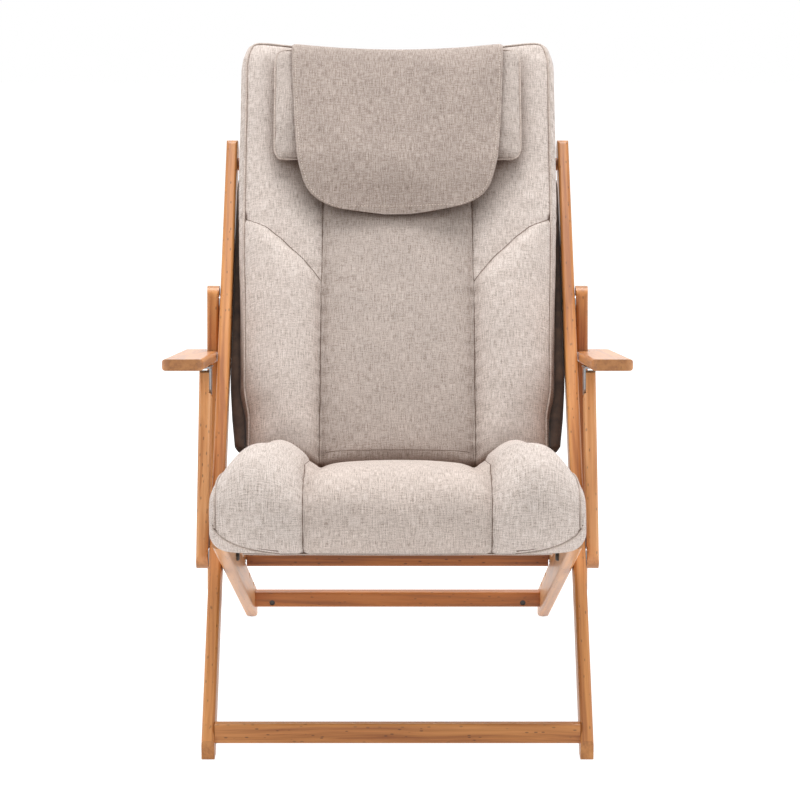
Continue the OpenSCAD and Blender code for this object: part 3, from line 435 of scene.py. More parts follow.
def linen(name, light, mid, dark, weave=1.0, middle=0.0, middle_shade=1.0):
    """Mottled linen: threads both ways with slubs.

    Where middle is given, in metres, the panel up to it from the pad's middle is darkened and a little
    warmed: painted shade, so the middle reads darker than the bolsters beside it.
    """
    look = Look(name, Roughness=0.92, Sheen_Weight=0.12, Sheen_Roughness=0.5)
    look.put(look.shader, {"Specular IOR Level": 0.2})
    uv = look.add("UVMap", uv_map="cloth").outputs[0]
    along = look.grain(look.place(uv, (660, 56, 1)), 1.0, 3.0, 0.62)
    over = look.grain(look.place(uv, (72, 700, 1)), 1.0, 3.0, 0.62)
    blots = look.grain(uv, 760.0, 2.0, 0.6)
    cloud = look.grain(uv, 14.0, 2.0, 0.5)
    both = look.math("ADD", look.math("MULTIPLY", along, 0.56), look.math("MULTIPLY", over, 0.44))
    both = look.math("ADD", look.math("MULTIPLY", both, 0.7), look.math("MULTIPLY", blots, 0.3))
    colour = look.ramp(both, (0.385, dark), (0.5, mid), (0.61, light))
    specks = look.grain(look.place(uv, (900, 520, 1)), 1.0, 1.0, 0.5)
    colour = look.mix(0.55, colour, look.ramp(specks, (0.3, grey(0.42)), (0.4, grey(1.0))), "MULTIPLY")
    shade = look.ramp(cloud, (0.3, grey(0.9)), (0.7, grey(1.0)))
    colour = look.mix(1.0, colour, shade, "MULTIPLY")
    # Painted shade: the middle panel between the seams is multiplied darker than the sides
    if middle:
        away = look.math("ABSOLUTE", look.add("SeparateXYZ", {"Vector": uv}).outputs[0])
        inside = (middle_shade, 0.978 * middle_shade, 0.962 * middle_shade, 1)
        panel = look.ramp(away, (middle - 0.003, inside), (middle + 0.003, grey(1.0)))
        colour = look.mix(1.0, colour, panel, "MULTIPLY")
    # Painted shade: the colour darkens to brown where the ambient occlusion node finds the cloth hemmed in,
    # as in creases, under the flap, round the pillow and where seat meets back
    occluded = look.add("AmbientOcclusion", {"Distance": 0.07}, samples=6).outputs["AO"]
    shade = look.ramp(occluded, (0.2, linear(146, 120, 104)), (0.9, grey(1.0)))
    colour = look.mix(1.0, colour, shade, "MULTIPLY")
    look.put(look.shader, {"Base Color": colour})
    wave = {"Vector": uv, "Scale": 210.0 / weave, "Distortion": 0.6}
    warp = look.add("TexWave", wave, bands_direction="X").outputs[1]
    weft = look.add("TexWave", wave, bands_direction="Y").outputs[1]
    threads = look.math("MAXIMUM", warp, weft)
    fine = look.bump(threads, 0.35, 0.0005)
    look.put(look.shader, {"Normal": look.bump(both, 0.55, 0.0016, fine)})
    return look.mat


def wood(name, angle, light, mid, dark, seed=0.0, along_x=False, coat=0.12):
    """Beech, its grain along the board: angle is the board's, in side view."""
    look = Look(name, Roughness=0.42, Coat_Weight=coat, Coat_Roughness=0.2)
    spot = look.add("TexCoord").outputs["Object"]
    turn = (0, 0, math.radians(90)) if along_x else (math.radians(-angle), 0, 0)
    v = look.place(spot, (1, 1, 1), turn)
    v = look.add("VectorMath", {0: v, 1: (seed, seed * 1.7, seed * 0.6)}, operation="ADD").outputs[0]
    warp = look.grain(look.place(v, (9, 1.6, 9)), 1.0, 2.0, 0.5)
    bend = look.add("VectorMath", {0: v, 1: look.add("VectorMath", {0: warp, 1: (0.03, 0.0, 0.05)},
                    operation="MULTIPLY").outputs[0]}, operation="ADD").outputs[0]
    rings = look.grain(look.place(bend, (120, 3.2, 120)), 1.0, 4.0, 0.62)
    wide = look.grain(look.place(bend, (26, 1.3, 26)), 1.0, 2.0, 0.5)
    fine = look.grain(look.place(v, (900, 26, 900)), 1.0, 2.0, 0.5)
    mixed = look.math("ADD", look.math("MULTIPLY", rings, 0.6), look.math("MULTIPLY", wide, 0.4))
    colour = look.ramp(mixed, (0.39, dark), (0.5, mid), (0.62, light))
    spots = look.place(v, (150, 56, 150))
    cells = look.add("TexVoronoi", {"Vector": spots, "Scale": 1.0, "Randomness": 1.0})
    flecks = look.ramp(cells.outputs["Distance"], (0.11, grey(0.3)), (0.2, grey(1.0)))
    colour = look.mix(0.85, colour, flecks, "MULTIPLY")
    facing = look.place(look.add("TexCoord").outputs["Normal"], (1, 1, 1), turn)
    end_grain = look.add("SeparateXYZ", {"Vector": facing}).outputs[1]
    ends = look.ramp(look.math("ABSOLUTE", end_grain), (0.55, grey(1.0)), (0.9, grey(0.6)))
    colour = look.mix(1.0, colour, ends, "MULTIPLY")
    # Painted highlight: convex edges, found by the mesh's pointiness, are lightened towards the light tone
    edge = look.add("NewGeometry").outputs["Pointiness"]
    edge_highlight = look.ramp(edge, (0.5, grey(0)), (0.58, grey(1)))
    colour = look.mix(look.math("MULTIPLY", edge_highlight, 0.3), colour, light)
    look.put(look.shader, {"Base Color": colour})
    look.put(look.shader, {"Roughness": look.math("ADD", look.math("MULTIPLY", rings, 0.22), 0.32)})
    look.put(look.shader, {"Normal": look.bump(look.math("ADD", fine, rings), 0.12, 0.0006)})
    return look.mat


def metal(name, colour, rough, scale, bump):
    look = Look(name, Metallic=1.0)
    spot = look.add("TexCoord").outputs["Object"]
    cloud = look.grain(spot, scale, 4.0, 0.6)
    shade = look.ramp(cloud, (0.3, grey(0.35)), (0.7, grey(1.0)))
    look.put(look.shader, {"Base Color": look.mix(0.35, colour, shade, "MULTIPLY")})
    look.put(look.shader, {"Roughness": look.math("ADD", look.math("MULTIPLY", cloud, 0.3), rough)})
    look.put(look.shader, {"Normal": look.bump(cloud, bump, 0.0004)})
    return look.mat


def lining(name, colour, dark):
    """Dark lining cloth with a fine twill."""
    look = Look(name, Roughness=0.9, Sheen_Weight=0.2, Sheen_Roughness=0.4)
    spot = look.add("TexCoord").outputs["Object"]
    turned = look.place(spot, (1, 1, 1), (math.radians(-BACK_ANGLE), 0, 0))
    wave = {"Vector": turned, "Scale": 260.0, "Distortion": 0.4}
    twill = look.add("TexWave", wave, bands_direction="DIAGONAL").outputs[1]
    cloud = look.grain(spot, 40.0, 4.0, 0.6)
    colour = look.mix(look.ramp(cloud, (0.3, grey(0)), (0.7, grey(1))), dark, colour)
    shade = look.ramp(twill, (0, grey(0.5)), (1, grey(1)))
    look.put(look.shader, {"Base Color": look.mix(0.35, colour, shade, "MULTIPLY")})
    look.put(look.shader, {"Normal": look.bump(twill, 0.3, 0.0004)})
    return look.mat


def rubber(name):
    look = Look(name, Roughness=0.8)
    spot = look.add("TexCoord").outputs["Object"]
    cloud = look.grain(spot, 300.0, 3.0, 0.6)
    colour = look.ramp(cloud, (0.3, linear(22, 20, 19)), (0.75, linear(52, 48, 45)))
    look.put(look.shader, {"Base Color": colour})
    look.put(look.shader, {"Normal": look.bump(cloud, 0.3, 0.0005)})
    return look.mat


def mottled(name, rough, scale, dark, light):
    """A plain yarn colour with slight clouds, for threads and the shadow in a seam."""
    look = Look(name, Roughness=rough)
    cloud = look.grain(look.add("TexCoord").outputs["Object"], scale)
    look.put(look.shader, {"Base Color": look.ramp(cloud, (0.35, dark), (0.65, light))})
    return look.mat


LIGHT, MID, DARK = linear(240, 230, 224), linear(217, 204, 196), linear(158, 143, 133)
# Painted shade: the pillow's copy of the linen is darker than the seat's and the back's
fabric = linen("linen", linear(226, 215, 208), linear(202, 189, 181), linear(148, 133, 123))
fabric_seat = linen("linen_seat", LIGHT, MID, DARK, middle=0.14, middle_shade=0.93)
fabric_back = linen("linen_back", LIGHT, MID, DARK, middle=VERTICAL_SEAM / 1000, middle_shade=0.78)
# Painted shade: the flap's copy of the linen is darker still
fabric_flap = linen("linen_flap", linear(208, 195, 187), linear(180, 165, 156), linear(128, 112, 102))
fabric_trim = linen("linen_trim", linear(230, 218, 209), linear(208, 193, 183), linear(160, 143, 132), 0.7)
thread = mottled("thread", 0.7, 900.0, linear(206, 190, 177), linear(232, 220, 208))
seam_dark = mottled("seam_shadow", 1.0, 600.0, linear(92, 76, 66), linear(126, 108, 96))
brown = lining("lining", linear(84, 62, 48), linear(48, 34, 26))
W_TONES = linear(216, 150, 86), linear(194, 126, 66), linear(154, 88, 38)
P_TONES = linear(232, 174, 120), linear(214, 150, 94), linear(180, 114, 60)
B_TONES = linear(208, 134, 72), linear(184, 108, 48), linear(138, 74, 28)
dark_steel = metal("dark_steel", linear(92, 86, 82), 0.38, 260.0, 0.25)
zinc = metal("zinc_plate", linear(178, 180, 184), 0.22, 420.0, 0.2)
glide_rubber = rubber("glide_rubber")

# Angles of the boards in side view, in degrees
GRAINS = {"seat_board": -22.6, "long_rail": 48.3, "prop_rail": -99.96, "arm_post": 65.7, "armrest": -7.9}
PLAIN = {
    dark_steel: ("barrel_nut", "stretcher_bolt", "main_bolt", "main_nut", "prop_bolt", "prop_nut",
                 "rest_pin", "arm_bolt"),
    zinc: ("inner_washer", "outer_washer", "prop_washer", "arm_bracket", "bracket_screw"),
    glide_rubber: ("rear_glide", "front_glide"), brown: ("seat_panel", "back_panel")}
for number, (node, obj) in enumerate(sorted(frame["nodes"].items())):
    plain = [material for material, names in PLAIN.items() if node.startswith(names)]
    board = [name for name in GRAINS if node.startswith(name)]
    if plain:
        material = plain[0]
    elif board:
        tones = P_TONES if board[0] in ("arm_post", "seat_board") else W_TONES
        material = wood("wood_" + node, GRAINS[board[0]], *tones, 0.37 * number,
                        coat=0.5 if board[0] == "armrest" else 0.12)
    else:
        tones = W_TONES if node == "foot_bar" else B_TONES
        material = wood("wood_" + node, 0, *tones, 0.37 * number, along_x=True)
    obj.data.materials.clear()
    obj.data.materials.append(material)


# ---------------------------------------------------------------- seat cushion
def seat_end(v, gaps):
    return [SEAT_LEN + v / math.tan(SEAT_SPLIT) - gaps * FOLD_GAP / 2 / math.sin(SEAT_SPLIT), v]


def seat_width(s):
    return SEAT_HW + (SEAT_REAR_HW - SEAT_HW) * float(eased(s / 0.15))


# Front point, rear point, half width and share of the bolsters' rise
SEAT_ROWS = [
    [-0.47 * NOSE_OUT, -NOSE_DROP, -0.45 * NOSE_OUT, -0.98 * NOSE_DROP, 0.8 * SEAT_HW, 0],
    [-0.52 * NOSE_OUT, -NOSE_DROP, -0.45 * NOSE_OUT, -0.94 * NOSE_DROP, 0.83 * SEAT_HW, 0],
    [-0.75 * NOSE_OUT, -0.9 * NOSE_DROP, -0.93 * NOSE_BACK, -0.84 * NOSE_DROP, 0.93 * SEAT_HW, 0.1],
    [-0.9 * NOSE_OUT, -0.6 * NOSE_DROP, -NOSE_BACK, -0.55 * NOSE_DROP, 0.98 * SEAT_HW, 0.2],
    [-0.97 * NOSE_OUT, -0.23 * NOSE_DROP, -NOSE_BACK, -0.2 * NOSE_DROP, SEAT_HW, 0.3],
    [-NOSE_OUT, 0.18 * SEAT_FULL, -0.99 * NOSE_BACK, 0.4 * SEAT_LOW, SEAT_HW, 0.42],
    [-0.95 * NOSE_OUT, 0.47 * SEAT_FULL, -0.97 * NOSE_BACK, 0.9 * SEAT_LOW, SEAT_HW, 0.6],
    [-0.79 * NOSE_OUT, 0.72 * SEAT_FULL, -0.7 * NOSE_BACK, SEAT_LOW, SEAT_HW, 0.8],
    [-0.56 * NOSE_OUT, 0.88 * SEAT_FULL, -0.2 * NOSE_BACK, SEAT_LOW, 0.995 * SEAT_HW, 0.95],
    [-0.26 * NOSE_OUT, 0.97 * SEAT_FULL, 0.2 * NOSE_BACK, SEAT_LOW, 0.985 * SEAT_HW, 1],
    *[[s * SEAT_LEN, SEAT_FULL + (SEAT_REAR_FULL - SEAT_FULL) * s, s * SEAT_LEN, SEAT_LOW,
       seat_width(s), 1] for s in (0.05, 0.1, 0.16, 0.3, 0.44, 0.58, 0.7)],
    [*seat_end(SEAT_REAR_FULL, 3), *seat_end(SEAT_LOW, 2), SEAT_REAR_HW, 0.9],
    [*seat_end(0.9 * SEAT_REAR_FULL, 1), *seat_end(1.15 * SEAT_LOW, 1), SEAT_REAR_HW, 0.6],
    [*seat_end(0.74 * SEAT_REAR_FULL, 0.5), *seat_end(1.5 * SEAT_LOW, 0.5), 0.99 * SEAT_REAR_HW, 0.2],
    [*seat_end(0.66 * SEAT_REAR_FULL, 0.4), *seat_end(1.62 * SEAT_LOW, 0.4), 0.98 * SEAT_REAR_HW, 0]]
SEAT_RISE, SEAM_DEPTH = 43, 6


def seat_lift(row, x):
    half, share, a = row[4], row[5], abs(x)
    r = np.clip((a / half - 0.5) / 0.5, 0, 1)
    bolster = SEAT_RISE * share * np.sin(math.pi * r ** 1.1)
    crown = 5 * share * np.cos(np.clip(a / half / 0.5, 0, 1) * math.pi / 2)
    channel = SEAM_DEPTH * share * np.clip(1 - abs(a / half - 0.5) / 0.09, 0, 1) ** 1.5
    return bolster + crown - channel


seat = Loft("seat_cushion_cover", SEAT, SEAT_ROWS, 8, 0.76, 2.4, seat_lift)


# ---------------------------------------------------------------- back cushion
def back_end(v, gaps):
    return [-BACK_LEN + v / math.tan(BACK_SPLIT) + gaps * FOLD_GAP / 2 / math.sin(BACK_SPLIT), v]


def back_row(s):
    u = -BACK_LEN + s * (BACK_LEN + BACK_UP)
    low = 1 - float(eased((s - 0.5) / 0.2))
    half = (BACK_END_HW + (BACK_LOW_HW - BACK_END_HW) * float(eased((s - 0.13) / 0.07))
            + (BACK_HW - BACK_LOW_HW) * float(eased((s - 0.2) / 0.5)))
    crown = 10 * low * math.sin(math.pi * min(s / 0.7, 1))
    return [u, BACK_FRONT + crown, u, SEAT_LOW, half, 1]


BACK_ROWS = [
    [*back_end(0.66 * BACK_FRONT, 0.4), *back_end(0.6 * BACK_FRONT, 0.4), 0.97 * BACK_END_HW, 0],
    [*back_end(0.8 * BACK_FRONT, 0.5), *back_end(1.6 * SEAT_LOW, 0.5), BACK_END_HW, 0.2],
    [*back_end(0.93 * BACK_FRONT, 1), *back_end(1.2 * SEAT_LOW, 1), BACK_END_HW, 0.6],
    [*back_end(BACK_FRONT, 2.5), *back_end(SEAT_LOW, 2), BACK_END_HW, 1],
    *[back_row(s) for s in (0.13, 0.2, 0.27, 0.36, 0.45, 0.53, 0.6, 0.66, 0.72, 0.78, 0.84, 0.93)],
    [BACK_UP - 0.3 * BACK_T, BACK_FRONT - 0.08 * BACK_T, BACK_UP - 0.3 * BACK_T, SEAT_LOW,
     0.972 * BACK_HW, 1],
    [BACK_UP - 0.1 * BACK_T, BACK_FRONT - 0.24 * BACK_T, BACK_UP - 0.1 * BACK_T, SEAT_LOW + 0.12 * BACK_T,
     0.945 * BACK_HW, 1],
    [BACK_UP, BACK_FRONT - 0.42 * BACK_T, BACK_UP, SEAT_LOW + 0.3 * BACK_T, 0.89 * BACK_HW, 1],
    [BACK_UP + 0.5, BACK_FRONT - 0.5 * BACK_T, BACK_UP + 0.5, SEAT_LOW + 0.42 * BACK_T, 0.88 * BACK_HW, 1]]
BACK_RISE = 26
SEAM_U = [-262, -227, -189, -165, -145, -137]
SEAM_X = [VERTICAL_SEAM, 155, 193, 219, 258, 264]
CREASE_U = -566


def back_lift(row, x):
    u, half, share, a = row[0], row[4], row[5], abs(x)
    inner = np.interp(u, SEAM_U, SEAM_X)
    room = max(half - 8 - inner, 1)
    r = np.clip((a - inner) / room, 0, 1)
    height = BACK_RISE * min(room / 128, 1) ** 0.8 * (u < -137)
    bolster = height * np.sin(math.pi * r ** 0.8)
    fade = float(eased((40 - u) / 60))
    channel = SEAM_DEPTH * fade * np.clip(1 - abs(a - VERTICAL_SEAM) / 24, 0, 1) ** 1.5
    crown = 3 * np.cos(np.clip(a / VERTICAL_SEAM, 0, 1) * math.pi / 2)
    return share * (bolster + crown - channel)


def dipped(p):
    out = p.copy()
    across_dip = 1 - (abs(p[..., 2]) / BACK_HW) ** DIP_POWER
    out[..., 0] -= TOP_DIP * eased((p[..., 0] - BACK_UP / 2) / (BACK_UP / 2)) * across_dip
    return out


back = Loft("back_cushion_cover", BACK, BACK_ROWS, 8, 0.8, 2.4, back_lift, dipped)

# ---------------------------------------------------------------- head pillow and its flap
PILLOW_V = BACK_FRONT + 0.3
PILLOW_RUN = [
    (0, 0.06, 0.93), (0.012, 0.3, 0.955), (0.03, 0.56, 0.975), (0.07, 0.8, 0.992), (0.14, 0.94, 1),
    (0.3, 1, 1), (0.5, 1.02, 1), (0.7, 1, 1), (0.86, 0.94, 1), (0.93, 0.8, 0.992),
    (0.97, 0.56, 0.975), (0.988, 0.3, 0.955), (1, 0.06, 0.93)]
PILLOW_MID, PILLOW_HALF = PILLOW_V + PILLOW_T / 2, PILLOW_T / 2 - 1.2
PILLOW_ROWS = [[PILLOW_UP - PILLOW_L + s * PILLOW_L, PILLOW_MID + PILLOW_HALF * t,
                PILLOW_UP - PILLOW_L + s * PILLOW_L, PILLOW_MID - PILLOW_HALF * t, w * PILLOW_HW, 1]
               for s, t, w in PILLOW_RUN]
pillow = Loft("head_pillow_cover", BACK, PILLOW_ROWS, 6, 0.55, 2.2, None, dipped)

LOW = PILLOW_UP - PILLOW_L
FLAP_OVER = PILLOW_V + PILLOW_T + 1.6 + FLAP_T / 2
FLAP_TOP = BACK_UP + 0.9 + FLAP_T / 2
BEHIND, LIFT = 9.0, 0.3 + FLAP_T / 2
FLAP_LINE = [
    (LOW - FLAP_DROP, PILLOW_V + 0.5 * PILLOW_T), (LOW - 0.86 * FLAP_DROP, PILLOW_V + 0.57 * PILLOW_T),
    (LOW - 0.66 * FLAP_DROP, PILLOW_V + 0.7 * PILLOW_T),
    (LOW - 0.36 * FLAP_DROP, PILLOW_V + 0.92 * PILLOW_T), (LOW, FLAP_OVER - 0.02 * PILLOW_T),
    (LOW + 0.25 * PILLOW_L, FLAP_OVER), (LOW + 0.55 * PILLOW_L, FLAP_OVER),
    (LOW + 0.84 * PILLOW_L, FLAP_OVER - 0.02 * PILLOW_T), (PILLOW_UP, FLAP_OVER - 0.17 * PILLOW_T),
    (BACK_UP - 0.19 * BACK_T + LIFT, BACK_FRONT - 0.13 * BACK_T + LIFT),
    (BACK_UP - 0.07 * BACK_T + LIFT, BACK_FRONT - 0.24 * BACK_T + LIFT),
    (FLAP_TOP, SEAT_LOW + 0.58 * BACK_T), (FLAP_TOP, SEAT_LOW + 0.36 * BACK_T),
    (FLAP_TOP - 0.02 * BACK_T, SEAT_LOW - 0.02 * BACK_T),
    (FLAP_TOP - 0.2 * BACK_T, BEHIND + 0.04 * BACK_T), (FLAP_TOP - 0.5 * BACK_T, BEHIND - 0.02 * BACK_T),
    (BACK_UP - FLAP_REAR, BEHIND - 0.02 * BACK_T)]


# The flap's half width, as a share of FLAP_HW, at places along the pad
FLAP_PLACES = [LOW - 0.36 * FLAP_DROP, *(LOW + share * PILLOW_L for share in (0, 0.25, 0.55, 0.84))]
FLAP_SHARES = [0.905, 0.94, 0.965, 0.985, 1]


def flap_rows():
    """The flap as a thin pad whose lower end is a wide round tongue."""
    line = np.array(FLAP_LINE)
    place = np.concatenate([[0], np.cumsum(np.linalg.norm(np.diff(line, axis=0), axis=1))])
    end = place[-1]
    fine = np.concatenate([[0, 0.5, 1.5, 3, 5], np.arange(8, 112, 6), np.arange(115, end, 9), [end]])
    at = through(line, place, fine)
    ahead = np.gradient(at, fine, axis=0)
    ahead /= np.linalg.norm(ahead, axis=1, keepdims=True)
    rows = []
    reach = place[4]
    for p, a, d in zip(at, ahead, fine):
        q = min(max(1 - d / reach, 0), 1)
        half = FLAP_HW * np.interp(p[0], FLAP_PLACES, FLAP_SHARES) * max(1 - q ** 3.2, 0.0) ** (1 / 2.6)
        side = np.array([-a[1], a[0]])
        rim = min(1, 0.25 + (max(d, 0) / 9) ** 0.6) * min(1, 0.3 + ((place[-1] - d) / 8) ** 0.6)
        rows.append([*(p + side * FLAP_T / 2 * rim), *(p - side * FLAP_T / 2 * rim), max(half, 22), 1])
    return rows


flap = Loft("head_flap_cover", BACK, flap_rows(), 7, 0.93, 2.0, None, dipped, hw=FLAP_HW)


# ---------------------------------------------------------------- tailoring
# Width beside a seam in which the cloth is held, and a distance that means no seam is near
HOLD_WIDTH, NO_SEAM = 14.0, 99.0
# A seam's depth and width, how much the cloth is gathered beside it, and the step along a welt
SEAM_SINK, SEAM_WIDTH, PUCKER, WELT_STEP = 3.2, 4.5, 0.7, 4.0


def held_near(loft, distance):
    """How firmly each vertex is held: at its seams, and all over the rear."""
    out = np.clip(1 - distance / HOLD_WIDTH, 0, 1)
    out[np.tile(np.arange(loft.k), loft.m) >= loft.n] = 1
    return out


SEAT_SEAM_X = 0.5 * max(row[4] for row in SEAT_ROWS)


def no_seam(run, x):
    return np.full(len(run), NO_SEAM)


def seat_seam(run, x):
    return abs(abs(x) - SEAT_SEAM_X)


def back_seam(run, x):
    u = np.interp(run, back.run, back.rows[:, 0])
    a = abs(x)
    upright = abs(a - VERTICAL_SEAM)
    best = np.full(len(u), 1e3)
    pts = list(zip(SEAM_U, SEAM_X))
    for (u0, x0), (u1, x1) in zip(pts[:-1], pts[1:]):
        d = np.array([u1 - u0, x1 - x0], float)
        t = np.clip(((u - u0) * d[0] + (a - x0) * d[1]) / (d @ d), 0, 1)
        best = np.minimum(best, np.hypot(u - u0 - t * d[0], a - x0 - t * d[1]))
    return np.minimum(upright + np.where(u > 60, (u - 60), 0), best)


def tailor(loft, seam, depth, width, pucker, wave, seed):
    """Draws the seams in, with the cloth gathered beside them, and adds slight creases."""
    obj = loft.obj
    co, nn = coords(obj), normals(obj)
    run, side = values(obj, "run"), values(obj, "side")
    x = co[:, 0] * 1000
    d = seam(run, x)
    front = np.clip(side * 2 - 1, 0, 1)
    beside = np.exp(-((d - width) / (1.6 * width)) ** 2)
    gather = np.sin(run / 4.6 + 2.2 * wrinkled(co, 40, seed + 1)) * beside
    shift = -depth * np.exp(-(d / width) ** 2) + pucker * gather
    shift = shift * front + wave * (wrinkled(co, 95, seed) * 0.7 + wrinkled(co, 38, seed + 3) * 0.3)
    set_coords(obj, co + nn * (shift / 1000)[:, None])


held = held_near(seat, seat_seam(np.repeat(seat.run, seat.k), seat.rings[..., 2].reshape(-1)))
swell(seat.obj, held, 7)
held = held_near(back, back_seam(np.repeat(back.run, back.k), back.rings[..., 2].reshape(-1)))
held = np.maximum(held, eased((back.rings[..., 0].reshape(-1) - 110) / 60))
swell(back.obj, held, 6)
swell(pillow.obj, held_near(pillow, np.full(pillow.m * pillow.k, NO_SEAM)), 2.5)


def raised(loft, ids, mm):
    """Points on the loft moved out along its normals."""
    return softened(coords(loft.obj)[ids] + normals(loft.obj)[ids] * mm / 1000, 2)


trims, linings = [], []


def welt(name, line, body, radius=2.3, material=fabric_trim, closed=False):
    obj = tube(name, line if closed else evenly(line, WELT_STEP), radius, closed=closed)
    obj.data.materials.append(material)
    trims.append((obj, body))


EDGE = 0.965
# Piping round the back cushion's front face and its rear edge
for tag, rear in (("front", False), ("rear", True)):
    left, right = back.column(-EDGE, rear), back.column(EDGE, rear)
    top = back.row(back.run[-4], -EDGE, EDGE, rear)
    welt("back_piping_" + tag, raised(back, left[2:-4] + top + right[2:-4][::-1], 0.6), "back_pad")
# Piping round the seat cushion's underside and along its front edge
left, right = seat.column(-EDGE, True), seat.column(EDGE, True)
nose = seat.row(seat.run[4], -EDGE, EDGE, True)
welt("seat_piping_under", raised(seat, left[4:-2][::-1] + nose + right[4:-2], 0.6), "seat_pad")
welt("seat_piping_nose", raised(seat, seat.row(seat.run[1], -0.97, 0.97), 0.4), "seat_pad", 1.8)
# Piping round the pillow
sides = [pillow.column(-1)[1:-1], pillow.column(1)[1:-1][::-1]]
ends = [pillow.row(pillow.run[-1], -0.99, 0.99), pillow.row(pillow.run[0], -0.99, 0.99)[::-1]]
ring = sides[0] + ends[0] + sides[1] + ends[1]
line = evenly(raised(pillow, ring + ring[:1], 0.5), WELT_STEP)[:-1]
welt("pillow_piping", line, "headrest", 2.2, closed=True)

for loft in (seat, back, pillow, flap):
    refine(loft.obj)
tailor(seat, seat_seam, SEAM_SINK, SEAM_WIDTH, PUCKER, 1.1, 3)
tailor(back, back_seam, SEAM_SINK, SEAM_WIDTH, PUCKER, 1.3, 5)
tailor(pillow, no_seam, 0, 4, 0, 0.9, 8)
tailor(flap, no_seam, 0, 4, 0, 0.5, 11)
# The flap lies in soft dents, most of all where it hangs free
co, run = coords(flap.obj), values(flap.obj, "run")
ahead = BACK.world((0, 1, 0)) - BACK.world((0, 0, 0))
free = np.clip((330 - run) / 60, 0, 1)
ripple = np.clip(wrinkled(co * (1, 0.5, 0.5), 85, 21) + 0.15, 0, None) * 13 * free
set_coords(flap.obj, co + ripple[:, None] * ahead)


def on_cloth(loft, rows, x, mm=0.0):
    """Points on a finished pad's front face, at fractional row numbers and places across in mm."""
    count = loft.m * loft.k
    grid = (coords(loft.obj)[:count] + normals(loft.obj)[:count] * mm / 1000).reshape(loft.m, loft.k, 3)
    rows = np.clip(np.asarray(rows, float), 0, loft.m - 1.001)
    half = np.interp(rows, np.arange(loft.m), loft.rows[:, 4])
    cols = np.clip(np.interp(x / half, loft.s, np.arange(loft.n)), 0, loft.n - 1.001)
    i, j = rows.astype(int), cols.astype(int)
    a, b = (rows - i)[:, None], (cols - j)[:, None]
    return ((grid[i, j] * (1 - b) + grid[i, j + 1] * b) * (1 - a)
            + (grid[i + 1, j] * (1 - b) + grid[i + 1, j + 1] * b) * a)


def dark_line(name, loft, rows, x, body, radius=0.48, mm=0.1):
    welt(name, softened(on_cloth(loft, rows, x, mm), 1), body, radius, seam_dark)


def back_row_at(u):
    return np.interp(u, back.rows[:, 0], np.arange(back.m))


def seat_row_at(v):
    """Row numbers on the seat's nose, whose front face rises over the first twelve rows."""
    return np.interp(v, seat.rows[:12, 1], np.arange(12))


for tag, side in (("left", -1), ("right", 1)):
    u = np.linspace(-596, 30, 160)
    dark_line("back_seam_" + tag, back, back_row_at(u), np.full(160, side * VERTICAL_SEAM), "back_pad")
    t = np.linspace(0, len(SEAM_U) - 1, 60)
    u, x = (np.interp(t, np.arange(len(SEAM_U)), v) for v in (SEAM_U, SEAM_X))
    dark_line("back_bolster_seam_" + tag, back, back_row_at(u), side * x, "back_pad", 0.36)
    rows = np.linspace(1, seat.m - 6, 120)
    dark_line("seat_seam_" + tag, seat, rows, np.full(120, side * SEAT_SEAM_X), "seat_pad", 0.5)
    # The boxed corner: a second row of piping from the side down to the front edge
    v = np.array([4, -4, -12, -20, -27, -32, -35.5])
    x = np.array([273, 269, 258, 242, 222, 200, 176]) * side
    line = softened(evenly(on_cloth(seat, seat_row_at(v), x, 0.9), 6.0), 2)
    low = int(seat_row_at(4)) + 1
    side_line = on_cloth(seat, np.arange(low, seat.m - 3), side * EDGE * seat.rows[low:seat.m - 3, 4], 0.6)
    welt("seat_piping_" + tag, np.concatenate([line[::-1], softened(side_line, 2)]), "seat_pad", 2.0)
    for where, up in (("upper", 4.6), ("lower", -4.2)):
        dark_line(f"seat_corner_seam_{where}_{tag}", seat, seat_row_at(v + up), x * (1 + up / 1500),
                  "seat_pad", 0.8, 0.3)
u = np.full(40, CREASE_U)
dark_line("back_crease", back, back_row_at(u), np.linspace(-118, 118, 40), "back_pad", 0.35)

# The dark lining's rounded sides, which close the gap beside the back cushion
LINING_U = [-561, -552, -500, -450, -420, -300, -200, -150, -100, -60, -48]
LINING_OUT = [263, 269, 275, 278.5, 279.5, 279.5, 279.5, 279.2, 278.6, 277.6, 276]
LINING_V = [80, 78.5, 69, 67, 66, 47, 34, 34, 34, 34, 34]
u = np.linspace(LINING_U[0], LINING_U[-1], 110)
half = np.interp(u, back.rows[4:, 0], back.rows[4:, 4])
out = np.interp(u, LINING_U, LINING_OUT)
v = softened(np.interp(u, LINING_U, LINING_V)[:, None], 8)[:, 0]
for tag, side in (("left", -1), ("right", 1)):
    line = BACK.world(np.column_stack([u, v, side * (out + half - 4) / 2]))
    roll = tube("back_lining_" + tag, line, (out - half + 4) / 2, 12)
    roll.data.materials.append(brown)
    linings.append((roll, "back_pad"))

# A row of stitches just inside the flap's edge
inset = 6.0
flap_half = flap.rows[:, 4]
first = int(np.searchsorted(flap.run, inset + 2))
rows = np.arange(first, flap.m - 4)
wide = flap_half[first] - inset
path_rows = np.concatenate([rows[::-1], np.full(40, float(first)), rows])
out = flap_half[rows] - inset
path_x = np.concatenate([-out[::-1], np.linspace(-wide, wide, 40), out])
seam_line = on_cloth(flap, path_rows, path_x)
outward = on_cloth(flap, path_rows, path_x, 1.0) - seam_line
row = stitches("flap_stitches", seam_line, outward)
row.data.materials.append(thread)
trims.append((row, "headrest"))

